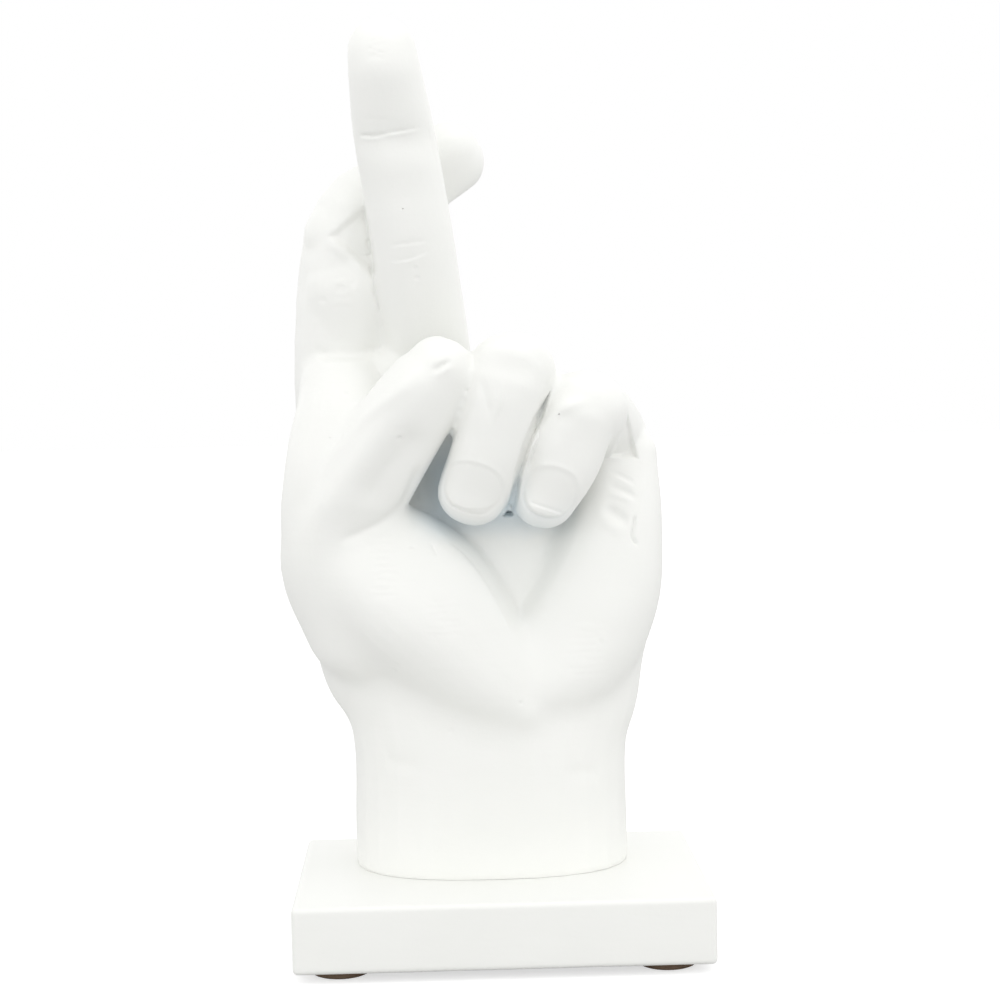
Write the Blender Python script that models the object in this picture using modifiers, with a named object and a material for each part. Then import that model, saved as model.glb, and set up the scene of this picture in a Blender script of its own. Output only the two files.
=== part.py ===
"""Cast hand with crossed fingers, standing on a rectangular plinth with four round pads.

Metres, +Z up. The palm faces -Y. The origin lies under the middle of the plinth, on the plane
that the pads stand on. Points of the hand are given from the middle of the plinth's top face.
"""

import math

import bmesh
import bpy
import numpy as np

# Plinth and its pads
PLINTH_WIDTH = 0.112
PLINTH_DEPTH = 0.080
PLINTH_HEIGHT = 0.018
PLINTH_EDGE_RADIUS = 0.0016
PAD_DIAMETER = 0.0155
PAD_THICKNESS = 0.0022
PAD_EDGE_RADIUS = 0.0005
PAD_INSET = 0.0045
SEAT_GAP = 0.0003

# Wrist, cut flat where it stands on the plinth. The heel's level is its height in the hand's points
WRIST_WIDTH = 0.0775
WRIST_FRONT = 0.029
WRIST_BACK = 0.020
WRIST_LENGTH = 0.034
WRIST_PLACE = (-0.0018, 0.014)
HEEL_LEVEL = 0.034
FOOT_EXTRA = 0.010

# Full widths at the knuckle, the two joints and the tip
MIDDLE_WIDTHS = (0.0240, 0.0226, 0.0218, 0.0184)
INDEX_WIDTHS = (0.0262, 0.0236, 0.0202, 0.0192)
RING_WIDTHS = (0.0240, 0.0216, 0.0206, 0.0190)
PINKY_WIDTHS = (0.0230, 0.0212, 0.0194, 0.0174)
THUMB_WIDTHS = (0.0300, 0.0280, 0.0222, 0.0192)

# Knuckle, the two joints and the middle of the rounded tip of each finger
MIDDLE_JOINTS = (
    (-0.0140, 0.0165, 0.1190),
    (-0.0202, -0.0030, 0.1718),
    (-0.0250, -0.0100, 0.2040),
    (-0.0276, -0.0136, 0.2248),
)
INDEX_JOINTS = (
    (-0.0412, 0.0160, 0.1170),
    (-0.0380, 0.0090, 0.1762),
    (-0.0215, 0.0160, 0.1905),
    (-0.0095, 0.0170, 0.1988),
)
RING_JOINTS = (
    (0.0095, 0.0170, 0.1160),
    (0.0053, -0.0175, 0.1385),
    (-0.0005, -0.0192, 0.1195),
    (-0.0058, -0.0152, 0.1065),
)
PINKY_JOINTS = (
    (0.0340, 0.0150, 0.1115),
    (0.0248, -0.0135, 0.1280),
    (0.0188, -0.0155, 0.1145),
    (0.0133, -0.0128, 0.1042),
)
THUMB_JOINTS = (
    (-0.0375, -0.0010, 0.0685),
    (-0.0438, -0.0065, 0.0930),
    (-0.0230, -0.0190, 0.1275),
    (-0.0134, -0.0205, 0.1388),
)

# Where the fingers' roots run inside the palm
PALM_MIDDLE = (-0.004, 0.017, 0.040)
ROOT_SHARE = 0.38
ROOT_BACK = 0.0145
DEPTH_SHARE = 0.47

# Knuckles on the back of the hand: how far each lies behind its joint, and its share of the width
KNUCKLE_SET_BACKS = (0.0010, 0.0025, 0.0045, 0.0040)
KNUCKLE_SHARE = 0.95

# Rows of the palm, the heel and the web: x, y, z, half width, half front and half back
PALM_ROWS = (
    (-0.0016, 0.0150, 0.0460, 0.0429, 0.0280, 0.0185),
    (-0.0029, 0.0160, 0.0600, 0.0474, 0.0255, 0.0172),
    (-0.0036, 0.0160, 0.0780, 0.0502, 0.0180, 0.0165),
    (-0.0038, 0.0160, 0.0950, 0.0516, 0.0150, 0.0158),
    (-0.0048, 0.0160, 0.1040, 0.0508, 0.0145, 0.0138),
    (-0.0052, 0.0160, 0.1100, 0.0480, 0.0125, 0.0112),
)
THENAR_ROWS = (
    (0.0020, 0.0030, 0.0470, 0.0120, 0.0205, 0.0120),
    (-0.0080, -0.0015, 0.0590, 0.0170, 0.0195, 0.0140),
    (-0.0210, -0.0045, 0.0750, 0.0210, 0.0195, 0.0140),
    (-0.0335, -0.0060, 0.0865, 0.0195, 0.0165, 0.0140),
    (-0.0430, -0.0065, 0.0945, 0.0140, 0.0130, 0.0130),
)
HYPOTHENAR_ROWS = (
    (0.0060, 0.0040, 0.0470, 0.0120, 0.0205, 0.0120),
    (0.0195, 0.0020, 0.0600, 0.0180, 0.0165, 0.0140),
    (0.0285, 0.0020, 0.0780, 0.0180, 0.0150, 0.0140),
    (0.0335, 0.0035, 0.0960, 0.0140, 0.0140, 0.0140),
    (0.0355, 0.0060, 0.1140, 0.0108, 0.0125, 0.0130),
)
WEB_ROWS = (
    (-0.0420, 0.0030, 0.1400, 0.0115, 0.0100, 0.0100),
    (-0.0400, -0.0030, 0.1270, 0.0145, 0.0130, 0.0120),
    (-0.0425, -0.0070, 0.1120, 0.0145, 0.0140, 0.0120),
    (-0.0465, -0.0060, 0.0980, 0.0125, 0.0120, 0.0120),
)

# Fleshy pad of the index finger under its first bend, as rows like those of the palm
INDEX_PAD_ROWS = (
    (-0.0395, 0.0075, 0.1500, 0.0112, 0.0085, 0.0090),
    (-0.0395, 0.0065, 0.1590, 0.0118, 0.0100, 0.0090),
    (-0.0395, 0.0065, 0.1640, 0.0114, 0.0096, 0.0090),
)

# Where the folded fingers are pressed together, behind the crevice between them
PRESSED_BACK = 0.0060
PRESSED_HALF = 0.0058

# Hollow of the palm, behind the folded fingertips
HOLLOW_EDGE = (
    (-0.0155, 0.0965),
    (-0.0110, 0.0878),
    (-0.0050, 0.0800),
    (0.0005, 0.0740),
    (0.0022, 0.0690),
    (0.0060, 0.0660),
    (0.0120, 0.0690),
    (0.0200, 0.0770),
    (0.0262, 0.0848),
    (0.0308, 0.0963),
    (0.0320, 0.1100),
    (-0.0155, 0.1100),
)
HOLLOW_DEPTH = 0.0050
HOLLOW_WALL = 0.0050
HOLLOW_FRONT = 0.0150

# Wedge that opens at the index finger's bend
WEDGE_EDGE = (
    (-0.0446, 0.1763),
    (-0.0391, 0.1808),
    (-0.0339, 0.1850),
    (-0.0300, 0.1860),
    (-0.0300, 0.1640),
    (-0.0326, 0.1655),
    (-0.0391, 0.1722),
)
WEDGE_DEPTH = 0.0040
WEDGE_WALL = 0.0016
WEDGE_FRONT = 0.0080

# Notch at the outer side of the little finger's bend
NOTCH_EDGE = (
    (0.0367, 0.1285),
    (0.0404, 0.1137),
    (0.0324, 0.1150),
)
NOTCH_DEPTH = 0.0022
NOTCH_WALL = 0.0016

# Directions across the fingers, along their joint axes
UPWARD = (0, 0, 1)
ACROSS = (1, 0, 0)
FRONT = (0, -1, 0)
BACK = (0, 1, 0)
MIDDLE_ACROSS = (1, 0, 0.1)
INDEX_BEND_ACROSS = (0.75, 0.55, -0.3)
INDEX_TIP_ACROSS = (0.40, 0.53, -0.72)
RING_ACROSS = (1, 0, -0.25)
PINKY_ACROSS = (0.80, 0.45, -0.35)
THUMB_ROOT_ACROSS = (0.70, 0.20, 0.65)
THUMB_TIP_ACROSS = (0.69, 0.51, -0.52)
THENAR_ACROSS = (0.68, 0.38, 0.62)
HYPOTHENAR_ACROSS = (0.74, -0.37, -0.56)

# Crest of the thumb, the hollow plane under it, and the crevice between the folded fingers
THUMB_CREST = (
    (-0.0150, -0.024, 0.1375),
    (-0.0225, -0.024, 0.1305),
    (-0.0330, -0.022, 0.1250),
    (-0.0400, -0.018, 0.1160),
    (-0.0450, -0.015, 0.1080),
)
CREST_OUT = (-0.3, -0.8, 0.5)
THUMB_HOLLOW = (
    (-0.0180, -0.028, 0.1250),
    (-0.0270, -0.026, 0.1150),
    (-0.0370, -0.020, 0.1040),
)
THUMB_OUT = (0.2, -0.9, -0.3)
FOLDED_CREVICE = (
    (0.0160, -0.020, 0.1345),
    (0.0119, -0.021, 0.1258),
    (0.0086, -0.021, 0.1190),
    (0.0063, -0.021, 0.1116),
    (0.0048, -0.020, 0.1042),
)

# Fineness of the cast skin
SKIN_CELL = 0.0010
HAND_TRIANGLES = 10500
SECTION_POINTS = 28
STEPS_BETWEEN = 6
DOME_LIFTS = (0.25, 0.5, 0.7, 0.85, 0.95, 0.995)
SHARP_ANGLE = math.radians(50)
FOOT_CUTTER = 0.05

# Nails, with the fold of skin round them: centre, direction to the tip, outward direction, length and width
NAIL_FOLD = 0.0006
NAIL_FOLD_WIDTH = 0.0008
NAIL_LIFT = 0.0005
NAILS = (
    ((-0.0057, -0.0240, 0.1082), (-0.28, 0.1, -1), (-0.12, -1, 0.0), 0.0128, 0.0160),
    ((0.0150, -0.0215, 0.1062), (-0.35, 0.1, -1), (0.05, -1, 0.05), 0.0130, 0.0135),
    ((-0.0278, -0.0030, 0.2250), (-0.1, -0.1, 1), (0, 1, 0.1), 0.0140, 0.0140),
    ((-0.0125, 0.0240, 0.2020), (0.8, 0.05, 0.55), (-0.3, 0.85, 0.45), 0.0135, 0.0140),
    ((-0.0165, -0.0155, 0.1430), (0.65, 0, 0.75), (-0.55, 0.45, 0.65), 0.0150, 0.0150),
)

# Creases, in reach of the casting's coarse skin: share of the depth, share of the breadth and the line
CREASE_BREADTH = 0.0010
CREASE_DEPTH = 0.0008
CREASES = (
    (1.3, 1.0, ((-0.0345, -0.016, 0.2022), (-0.0270, -0.016, 0.2026), (-0.0165, -0.016, 0.2040))),
    (0.8, 1.0, ((-0.0280, -0.012, 0.1733), (-0.0210, -0.012, 0.1734), (-0.0140, -0.012, 0.1742))),
    (0.7, 1.0, ((-0.0280, -0.012, 0.1693), (-0.0200, -0.012, 0.1697), (-0.0120, -0.012, 0.1720))),
    (1.0, 1.0, ((-0.0490, -0.006, 0.1438), (-0.0395, -0.006, 0.1442), (-0.0285, -0.006, 0.1456))),
    (1.6, 1.3, ((-0.0200, -0.018, 0.1140), (-0.0245, -0.018, 0.1040), (-0.0420, -0.018, 0.0942))),
    (0.8, 1.0, ((0.0345, -0.009, 0.1131), (0.0402, -0.009, 0.1086))),
    (0.8, 1.0, ((0.0339, -0.009, 0.1079), (0.0385, -0.009, 0.1053))),
    (0.9, 1.0, ((0.0307, -0.009, 0.1006), (0.0384, -0.009, 0.0963))),
    (1.0, 2.0, ((0.0043, -0.014, 0.0677), (0.0041, -0.014, 0.0500))),
)

WHITE = (0.90, 0.90, 0.89, 1.0)
BLACK = (0.02, 0.02, 0.02, 1.0)

PLINTH_TOP = PAD_THICKNESS + SEAT_GAP + PLINTH_HEIGHT


def clear_scene():
    for item in list(bpy.data.objects):
        bpy.data.objects.remove(item, do_unlink=True)


def new_collection(name):
    group = bpy.data.collections.new(name)
    bpy.context.scene.collection.children.link(group)
    return group


def new_material(name, colour, roughness):
    finish = bpy.data.materials.new(name)
    finish.use_nodes = True
    shader = finish.node_tree.nodes["Principled BSDF"]
    shader.inputs["Base Color"].default_value = colour
    shader.inputs["Roughness"].default_value = roughness
    shader.inputs["Metallic"].default_value = 0.0
    return finish


def new_object(name, mesh, group, finish=None):
    item = bpy.data.objects.new(name, mesh)
    group.objects.link(item)
    if finish:
        mesh.materials.clear()
        mesh.materials.append(finish)
    return item


def evaluated_mesh(item):
    """The object's mesh with its modifiers applied, as a mesh of its own."""
    graph = bpy.context.evaluated_depsgraph_get()
    return bpy.data.meshes.new_from_object(item.evaluated_get(graph))


# Lofts of oval sections


def unit(vector):
    vector = np.asarray(vector, float)
    return vector / np.linalg.norm(vector)


def smooth_path(points, steps):
    """Rows on a Catmull-Rom curve through the rows given, ends included."""
    rows = np.asarray(points, float)
    padded = np.vstack([2 * rows[0] - rows[1], rows, 2 * rows[-1] - rows[-2]])
    path = []
    for i in range(1, len(padded) - 2):
        a, b, c, d = padded[i - 1 : i + 3]
        for t in np.arange(steps) / steps:
            pull = (c - a) * t
            bend = (2 * a - 5 * b + 4 * c - d) * t**2
            twist = (3 * b - a - 3 * c + d) * t**3
            path.append(0.5 * (2 * b + pull + bend + twist))
    path.append(rows[-1])
    return np.array(path)


def section(row, heading, side, lift, square):
    """One ring of a loft. A row is x, y, z, half width, half front and half back."""
    share = math.sqrt(1 - lift**2)
    centre = row[:3] + unit(heading) * lift * min(row[3], (row[4] + row[5]) / 2)
    across = unit(side - heading * (side @ heading) / (heading @ heading))
    deep = unit(np.cross(heading, across))
    ring = []
    for k in range(SECTION_POINTS):
        turn = 2 * math.pi * k / SECTION_POINTS
        c, s = math.cos(turn), math.sin(turn)
        depth = row[5] if s > 0 else row[4]
        u = math.copysign(abs(c) ** (2 / square), c) * row[3] * share
        v = math.copysign(abs(s) ** (2 / square), s) * depth * share
        ring.append(centre + across * u + deep * v)
    return ring


def turned_sides(sides, count):
    """The directions across, spread evenly over this many rows."""
    places = np.linspace(0, 1, count)
    given = np.linspace(0, 1, len(sides))
    return np.array([np.interp(places, given, axis) for axis in np.array(sides, float).T]).T


def add_loft(shape, stations, sides, square=2.0):
    """Adds a closed loft with domed ends to the bmesh. The sides point along the half width."""
    rows = smooth_path(stations, STEPS_BETWEEN)
    turns = turned_sides(sides, len(rows))
    headings = np.gradient(rows[:, :3], axis=0)
    rings = [section(rows[0], headings[0], turns[0], -lift, square) for lift in DOME_LIFTS[::-1]]
    rings += [section(row, heading, side, 0.0, square) for row, heading, side in zip(rows, headings, turns)]
    rings += [section(rows[-1], headings[-1], turns[-1], lift, square) for lift in DOME_LIFTS]
    loops = [[shape.verts.new(point) for point in ring] for ring in rings]
    for low, high in zip(loops, loops[1:]):
        for k in range(SECTION_POINTS):
            j = (k + 1) % SECTION_POINTS
            shape.faces.new((low[k], low[j], high[j], high[k]))
    shape.faces.new(loops[0][::-1])
    shape.faces.new(loops[-1])


def finger_stations(joints, widths, rooted=True):
    """Stations at the joints, after a root that lies inside the palm as the hand's bones do."""
    rows = []
    if rooted:
        root = np.array(joints[0]) + ROOT_SHARE * (np.array(PALM_MIDDLE) - joints[0])
        rows.append((*root, widths[0] / 2, widths[0] / 2, ROOT_BACK))
    for joint, width in zip(joints, widths):
        rows.append((*joint, width / 2, width * DEPTH_SHARE, width * DEPTH_SHARE))
    return rows


# The masses of the hand


def palm(shape):
    half = WRIST_WIDTH / 2
    x, y = WRIST_PLACE
    foot = HEEL_LEVEL - WRIST_LENGTH
    wrist = (half, WRIST_FRONT, WRIST_BACK)
    rows = [
        (x, y, foot - FOOT_EXTRA, *wrist),
        (x, y, foot + WRIST_LENGTH / 3, *wrist),
        (x, y, HEEL_LEVEL, *wrist),
        *PALM_ROWS,
    ]
    add_loft(shape, rows, (ACROSS, ACROSS), square=2.5)


def heel_and_web(shape):
    """The ball of the thumb, the outer heel, and the slope between the thumb and the index finger."""
    add_loft(shape, THENAR_ROWS, (THENAR_ACROSS, THENAR_ACROSS), square=2.7)
    add_loft(shape, HYPOTHENAR_ROWS, (HYPOTHENAR_ACROSS, ACROSS), square=2.5)
    add_loft(shape, WEB_ROWS, (ACROSS, ACROSS))


def ball(shape, centre, radius):
    """A ball that fills out a bent joint."""
    x, y, z = centre
    rows = [(x + k * radius / 10, y, z, radius, radius, radius) for k in (-1, 0, 1)]
    add_loft(shape, rows, (UPWARD, UPWARD))


def crossed_fingers(shape):
    middle = finger_stations(MIDDLE_JOINTS, MIDDLE_WIDTHS)
    add_loft(shape, middle, (MIDDLE_ACROSS, MIDDLE_ACROSS), square=2.3)
    index_sides = (ACROSS, ACROSS, INDEX_BEND_ACROSS, INDEX_TIP_ACROSS, INDEX_TIP_ACROSS)
    add_loft(shape, finger_stations(INDEX_JOINTS, INDEX_WIDTHS), index_sides, square=2.8)
    ball(shape, INDEX_JOINTS[1], INDEX_WIDTHS[1] / 2)
    add_loft(shape, INDEX_PAD_ROWS, (ACROSS, ACROSS), square=2.4)


def folded_fingers(shape):
    add_loft(shape, finger_stations(RING_JOINTS, RING_WIDTHS), (ACROSS, RING_ACROSS), square=2.4)
    add_loft(shape, finger_stations(PINKY_JOINTS, PINKY_WIDTHS), (ACROSS, PINKY_ACROSS), square=2.4)
    ball(shape, RING_JOINTS[1], RING_WIDTHS[1] / 2)
    ball(shape, PINKY_JOINTS[1], PINKY_WIDTHS[1] / 2)
    back = np.array((0, PRESSED_BACK, 0))
    spots = [(np.array(ring) + pinky) / 2 + back for ring, pinky in zip(RING_JOINTS[1:], PINKY_JOINTS[1:])]
    pressed = [(*spot, PRESSED_HALF, PRESSED_HALF, PRESSED_HALF) for spot in spots]
    add_loft(shape, pressed, (ACROSS, ACROSS))


def thumb(shape):
    rows = finger_stations(THUMB_JOINTS, THUMB_WIDTHS, rooted=False)
    add_loft(shape, rows, (THUMB_ROOT_ACROSS, THUMB_TIP_ACROSS, THUMB_TIP_ACROSS), square=2.9)


def knuckles(shape):
    joints = (INDEX_JOINTS[0], MIDDLE_JOINTS[0], RING_JOINTS[0], PINKY_JOINTS[0])
    widths = (INDEX_WIDTHS[0], MIDDLE_WIDTHS[0], RING_WIDTHS[0], PINKY_WIDTHS[0])
    for (x, y, z), width, set_back in zip(joints, widths, KNUCKLE_SET_BACKS):
        ball(shape, (x, y + set_back, z), KNUCKLE_SHARE * width / 2)


# Skin


class Skin:
    """The fused masses held as arrays, to be smoothed and worked with strokes."""

    def __init__(self, mesh):
        self.mesh = mesh
        self.points = np.empty(len(mesh.vertices) * 3)
        mesh.vertices.foreach_get("co", self.points)
        self.points = self.points.reshape(-1, 3)
        ends = np.empty(len(mesh.edges) * 2, np.int64)
        mesh.edges.foreach_get("vertices", ends)
        self.ends = ends.reshape(-1, 2)
        mesh.calc_loop_triangles()
        corners = np.empty(len(mesh.loop_triangles) * 3, np.int64)
        mesh.loop_triangles.foreach_get("vertices", corners)
        self.corners = corners.reshape(-1, 3)
        self.degree = np.bincount(self.ends.ravel(), minlength=len(self.points))[:, None]
        self.refresh()

    def refresh(self):
        """Works out the normals again, after a group of strokes."""
        a, b, c = (self.points[self.corners[:, k]] for k in range(3))
        faces = np.cross(b - a, c - a)
        sums = np.zeros_like(self.points)
        for axis in range(3):
            for corner in range(3):
                sums[:, axis] += np.bincount(self.corners[:, corner], faces[:, axis], len(self.points))
        self.normals = sums / np.maximum(np.linalg.norm(sums, axis=1, keepdims=True), 1e-12)

    def pull(self):
        """From each point to the mean of its neighbours."""
        sums = np.zeros_like(self.points)
        for axis in range(3):
            for near, far in ((0, 1), (1, 0)):
                values = self.points[self.ends[:, far], axis]
                sums[:, axis] += np.bincount(self.ends[:, near], values, len(self.points))
        return sums / self.degree - self.points

    def relax(self, passes, weight=1.0):
        """Evens the skin out and keeps its volume."""
        for _ in range(passes):
            self.points += 0.5 * weight * self.pull()
            self.points -= 0.52 * weight * self.pull()
        self.refresh()

    def fill(self, reach, weight):
        """Fills hollow creases out to about the reach, and leaves what stands out."""
        for count in range(max(1, round((reach / SKIN_CELL) ** 2))):
            pull = self.pull()
            if count % 4 == 0:
                self.refresh()
            rise = np.sum(pull * self.normals, axis=1, keepdims=True)
            self.points += 0.5 * weight * (pull - self.normals * np.minimum(rise, 0))
        self.refresh()

    def soften(self, passes, weight):
        """Plain smoothing where the weight is, which also rounds what stands out."""
        for _ in range(passes):
            self.points += 0.5 * weight * self.pull()
        self.refresh()

    def facing(self, chosen, direction, low=0.1, high=0.45):
        """1 where the skin looks along the direction, falling to 0 where it looks away."""
        look = self.normals[chosen] @ unit(direction)
        return np.clip((look - low) / (high - low), 0, 1)

    def along(self, path, out, margin, reach):
        """Points near a line, with their signed distance across it, their place on it and their facing."""
        path = smooth_path(path, 5)
        low = path.min(axis=0) - margin - reach * np.abs(out)
        high = path.max(axis=0) + margin + reach * np.abs(out)
        chosen = np.flatnonzero(np.all((self.points > low) & (self.points < high), axis=1))
        flat_path = path - np.outer(path @ out, out)
        spots = self.points[chosen]
        levels = spots @ out
        flat = spots - np.outer(levels, out)
        best = np.full(len(chosen), np.inf)
        signed = np.zeros(len(chosen))
        place = np.zeros(len(chosen))
        lengths = np.linalg.norm(np.diff(flat_path, axis=0), axis=1)
        starts = np.concatenate([[0], np.cumsum(lengths)])
        for i, (start, end) in enumerate(zip(flat_path, flat_path[1:])):
            run = end - start
            offset = flat - start
            share = np.clip(offset @ run / (run @ run), 0, 1)
            away = np.linalg.norm(offset - np.outer(share, run), axis=1)
            level = path[i] @ out + share * ((path[i + 1] - path[i]) @ out)
            away[np.abs(levels - level) > reach] = np.inf
            nearer = away < best
            side = np.sign(offset @ np.cross(out, run))
            best = np.where(nearer, away, best)
            signed = np.where(nearer, away * side, signed)
            place = np.where(nearer, (starts[i] + share * lengths[i]) / starts[-1], place)
        near = best < margin
        chosen = chosen[near]
        return chosen, signed[near], place[near], self.facing(chosen, out)

    def groove(self, path, breadth, depth, direction=FRONT, reach=0.007, taper=0.25, lip=0.0):
        """Presses a line into the skin, thinning out at its ends.

        The lip raises a thin ridge on the right of the line's run as seen from outside. A negative
        depth raises the line itself.
        """
        out = unit(direction)
        chosen, signed, place, facing = self.along(path, out, breadth * 5, reach)
        ends = np.clip(np.minimum(place, 1 - place) / taper, 0, 1)
        ends = ends * ends * (3 - 2 * ends)
        amount = -depth * np.exp(-((signed / breadth) ** 2))
        amount += lip * np.exp(-(((signed + 1.9 * breadth) / breadth) ** 2))
        self.points[chosen] += self.normals[chosen] * (amount * ends * facing)[:, None]

    def swell(self, centre, spread, height, direction=FRONT):
        """Raises a soft mound, or with a negative height presses a hollow."""
        offset = (self.points - np.asarray(centre)) / (np.ones(3) * spread)
        chosen = np.flatnonzero(np.sum(offset**2, axis=1) < 6.0)
        amount = height * np.exp(-np.sum(offset[chosen] ** 2, axis=1)) * self.facing(chosen, direction)
        self.points[chosen] += self.normals[chosen] * amount[:, None]

    def press(self, edge, depth, wall, front):
        """Pushes what lies inside a closed edge back, as far forward as the front, with a wall this wide."""
        ring = np.asarray(edge, float)
        flat = self.points[:, [0, 2]]
        box = np.all((flat > ring.min(axis=0)) & (flat < ring.max(axis=0)), axis=1)
        chosen = np.flatnonzero(box & (self.points[:, 1] > -front))
        spots = flat[chosen]
        inside = np.zeros(len(chosen), bool)
        gap = np.full(len(chosen), np.inf)
        for start, end in zip(ring, np.roll(ring, -1, axis=0)):
            run = end - start
            share = np.clip((spots - start) @ run / (run @ run), 0, 1)
            gap = np.minimum(gap, np.linalg.norm(spots - start - np.outer(share, run), axis=1))
            rises = (start[1] > spots[:, 1]) != (end[1] > spots[:, 1])
            slope = run[0] / (run[1] if run[1] else 1e-9)
            inside ^= rises & (spots[:, 0] < start[0] + (spots[:, 1] - start[1]) * slope)
        amount = np.where(inside, np.clip(gap / wall, 0, 1), 0)
        amount = amount * amount * (3 - 2 * amount) * self.facing(chosen, FRONT, -0.2, 0.2)
        self.points[chosen, 1] += depth * amount

    def nail(self, centre, along, out, length, width):
        """Sets a nail: a flat plate with a fold of skin round it and a free edge towards its tip."""
        out = unit(out)
        along = unit(np.asarray(along) - out * (np.asarray(along) @ out))
        across = np.cross(out, along)
        offset = self.points - np.asarray(centre)
        chosen = np.flatnonzero(np.sum(offset**2, axis=1) < (1.1 * max(length, width)) ** 2)
        offset = offset[chosen]
        a = offset @ along / (length / 2)
        w = offset @ across / (width / 2)
        rim = (np.abs(a) ** 2.6 + np.abs(w) ** 2.6) ** (1 / 2.6)
        gap = (rim - 1) * min(length, width) / 2
        close = self.facing(chosen, out) * (np.abs(offset @ out) < width * 0.6)
        fold = NAIL_FOLD * np.exp(-(((gap - NAIL_FOLD_WIDTH / 2) / NAIL_FOLD_WIDTH) ** 2))
        lip = 0.5 * NAIL_FOLD * np.exp(-(((gap - 2.5 * NAIL_FOLD_WIDTH) / (1.5 * NAIL_FOLD_WIDTH)) ** 2))
        plate = NAIL_LIFT * np.clip(0.5 - gap / NAIL_FOLD_WIDTH, 0, 1) * np.clip((a + 1.4) / 2.0, 0, 1)
        self.points[chosen] += out * ((plate + lip - fold) * close)[:, None]

    def store(self):
        self.mesh.vertices.foreach_set("co", self.points.ravel())
        self.mesh.update()


def cast_skin(group):
    """The masses fused into one closed skin."""
    shape = bmesh.new()
    for build in (palm, heel_and_web, crossed_fingers, folded_fingers, thumb, knuckles):
        build(shape)
    mesh = bpy.data.meshes.new("masses")
    shape.to_mesh(mesh)
    shape.free()
    masses = new_object("masses", mesh, group)
    fuse = masses.modifiers.new("fuse", "REMESH")
    fuse.mode = "VOXEL"
    fuse.voxel_size = SKIN_CELL
    fused = evaluated_mesh(masses)
    bpy.data.objects.remove(masses)
    return Skin(fused)


def between(value, low, high):
    """0 at low, 1 at high, and clipped past both."""
    return np.clip((value - low) / (high - low), 0, 1)


def blend_masses(skin):
    """Runs the masses of the palm, the heel and the back of the hand into each other."""
    skin.relax(3)
    x, y, z = skin.points.T
    heel = between(z, 0.112, 0.092)
    back = between(y, 0.008, 0.016) * between(z, 0.165, 0.140)
    web = between(x, -0.026, -0.036) * between(z, 0.096, 0.106) * between(z, 0.165, 0.135)
    skin.fill(0.0070, np.maximum.reduce([heel, back, web])[:, None])
    skin.fill(0.0080, back[:, None])
    thumb_ball = between(x, 0.006, -0.004) * between(z, 0.090, 0.078) * between(y, 0.012, 0.004)
    skin.fill(0.0080, thumb_ball[:, None])
    crevice = between(y, -0.0250, -0.0215) * between(x, 0.000, 0.004) * between(x, 0.026, 0.020)
    crevice *= between(z, 0.096, 0.100) * between(z, 0.150, 0.140)
    skin.fill(0.0036, crevice[:, None])
    edge = between(x, -0.036, -0.042) * between(z, 0.036, 0.042) * between(z, 0.104, 0.098)
    skin.soften(50, edge[:, None])
    skin.fill(0.0012, 1.0)
    skin.relax(3)


def pads_and_hollows(skin):
    """Pads, hollows and planes that the lofts leave out."""
    skin.swell((-0.0275, -0.0225, 0.2190), (0.009, 0.012, 0.0075), 0.0026)
    skin.swell((-0.0258, -0.0200, 0.2068), (0.010, 0.012, 0.0050), -0.0010)
    skin.swell((-0.0215, -0.0150, 0.1880), (0.010, 0.012, 0.0100), 0.0008)
    skin.swell((-0.0400, -0.0060, 0.1465), (0.014, 0.012, 0.0030), -0.0010)
    skin.swell((-0.0400, -0.0080, 0.1395), (0.014, 0.012, 0.0035), 0.0008)
    skin.refresh()
    skin.press(HOLLOW_EDGE, HOLLOW_DEPTH, HOLLOW_WALL, HOLLOW_FRONT)
    skin.press(WEDGE_EDGE, WEDGE_DEPTH, WEDGE_WALL, WEDGE_FRONT)
    skin.press(NOTCH_EDGE, NOTCH_DEPTH, NOTCH_WALL, HOLLOW_FRONT)
    skin.refresh()
    skin.groove(THUMB_CREST, 0.0022, -0.0010, CREST_OUT, reach=0.010)
    skin.groove(THUMB_HOLLOW, 0.0040, 0.0012, THUMB_OUT, reach=0.010)
    skin.groove(FOLDED_CREVICE, 0.0012, 0.0020, reach=0.012, taper=0.1)
    skin.refresh()


def tendons(skin):
    """The cords that run from the back of the wrist to the knuckles."""
    for x, z in ((-0.036, 0.110), (-0.012, 0.112), (0.011, 0.106), (0.030, 0.098)):
        skin.groove(((0.35 * x, 0.034, 0.055), (x, 0.033, z)), 0.0032, -0.0009, BACK, reach=0.012)
    for x, z in ((-0.025, 0.118), (-0.001, 0.117), (0.020, 0.110)):
        valley = ((x * 0.9, 0.033, z - 0.016), (x, 0.031, z + 0.003))
        skin.groove(valley, 0.0045, 0.0018, BACK, reach=0.012, taper=0.4)
    skin.refresh()


def creases(skin):
    for depth, breadth, path in CREASES:
        skin.groove(path, CREASE_BREADTH * breadth, CREASE_DEPTH * depth)
    skin.refresh()


def nails(skin):
    for centre, along, out, length, width in NAILS:
        skin.nail(centre, along, out, length, width)


def thinned_mesh(item, triangles, count):
    """The object's mesh brought down from this count of triangles."""
    thin = item.modifiers.new("thin", "DECIMATE")
    thin.ratio = triangles / count
    return evaluated_mesh(item)


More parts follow.
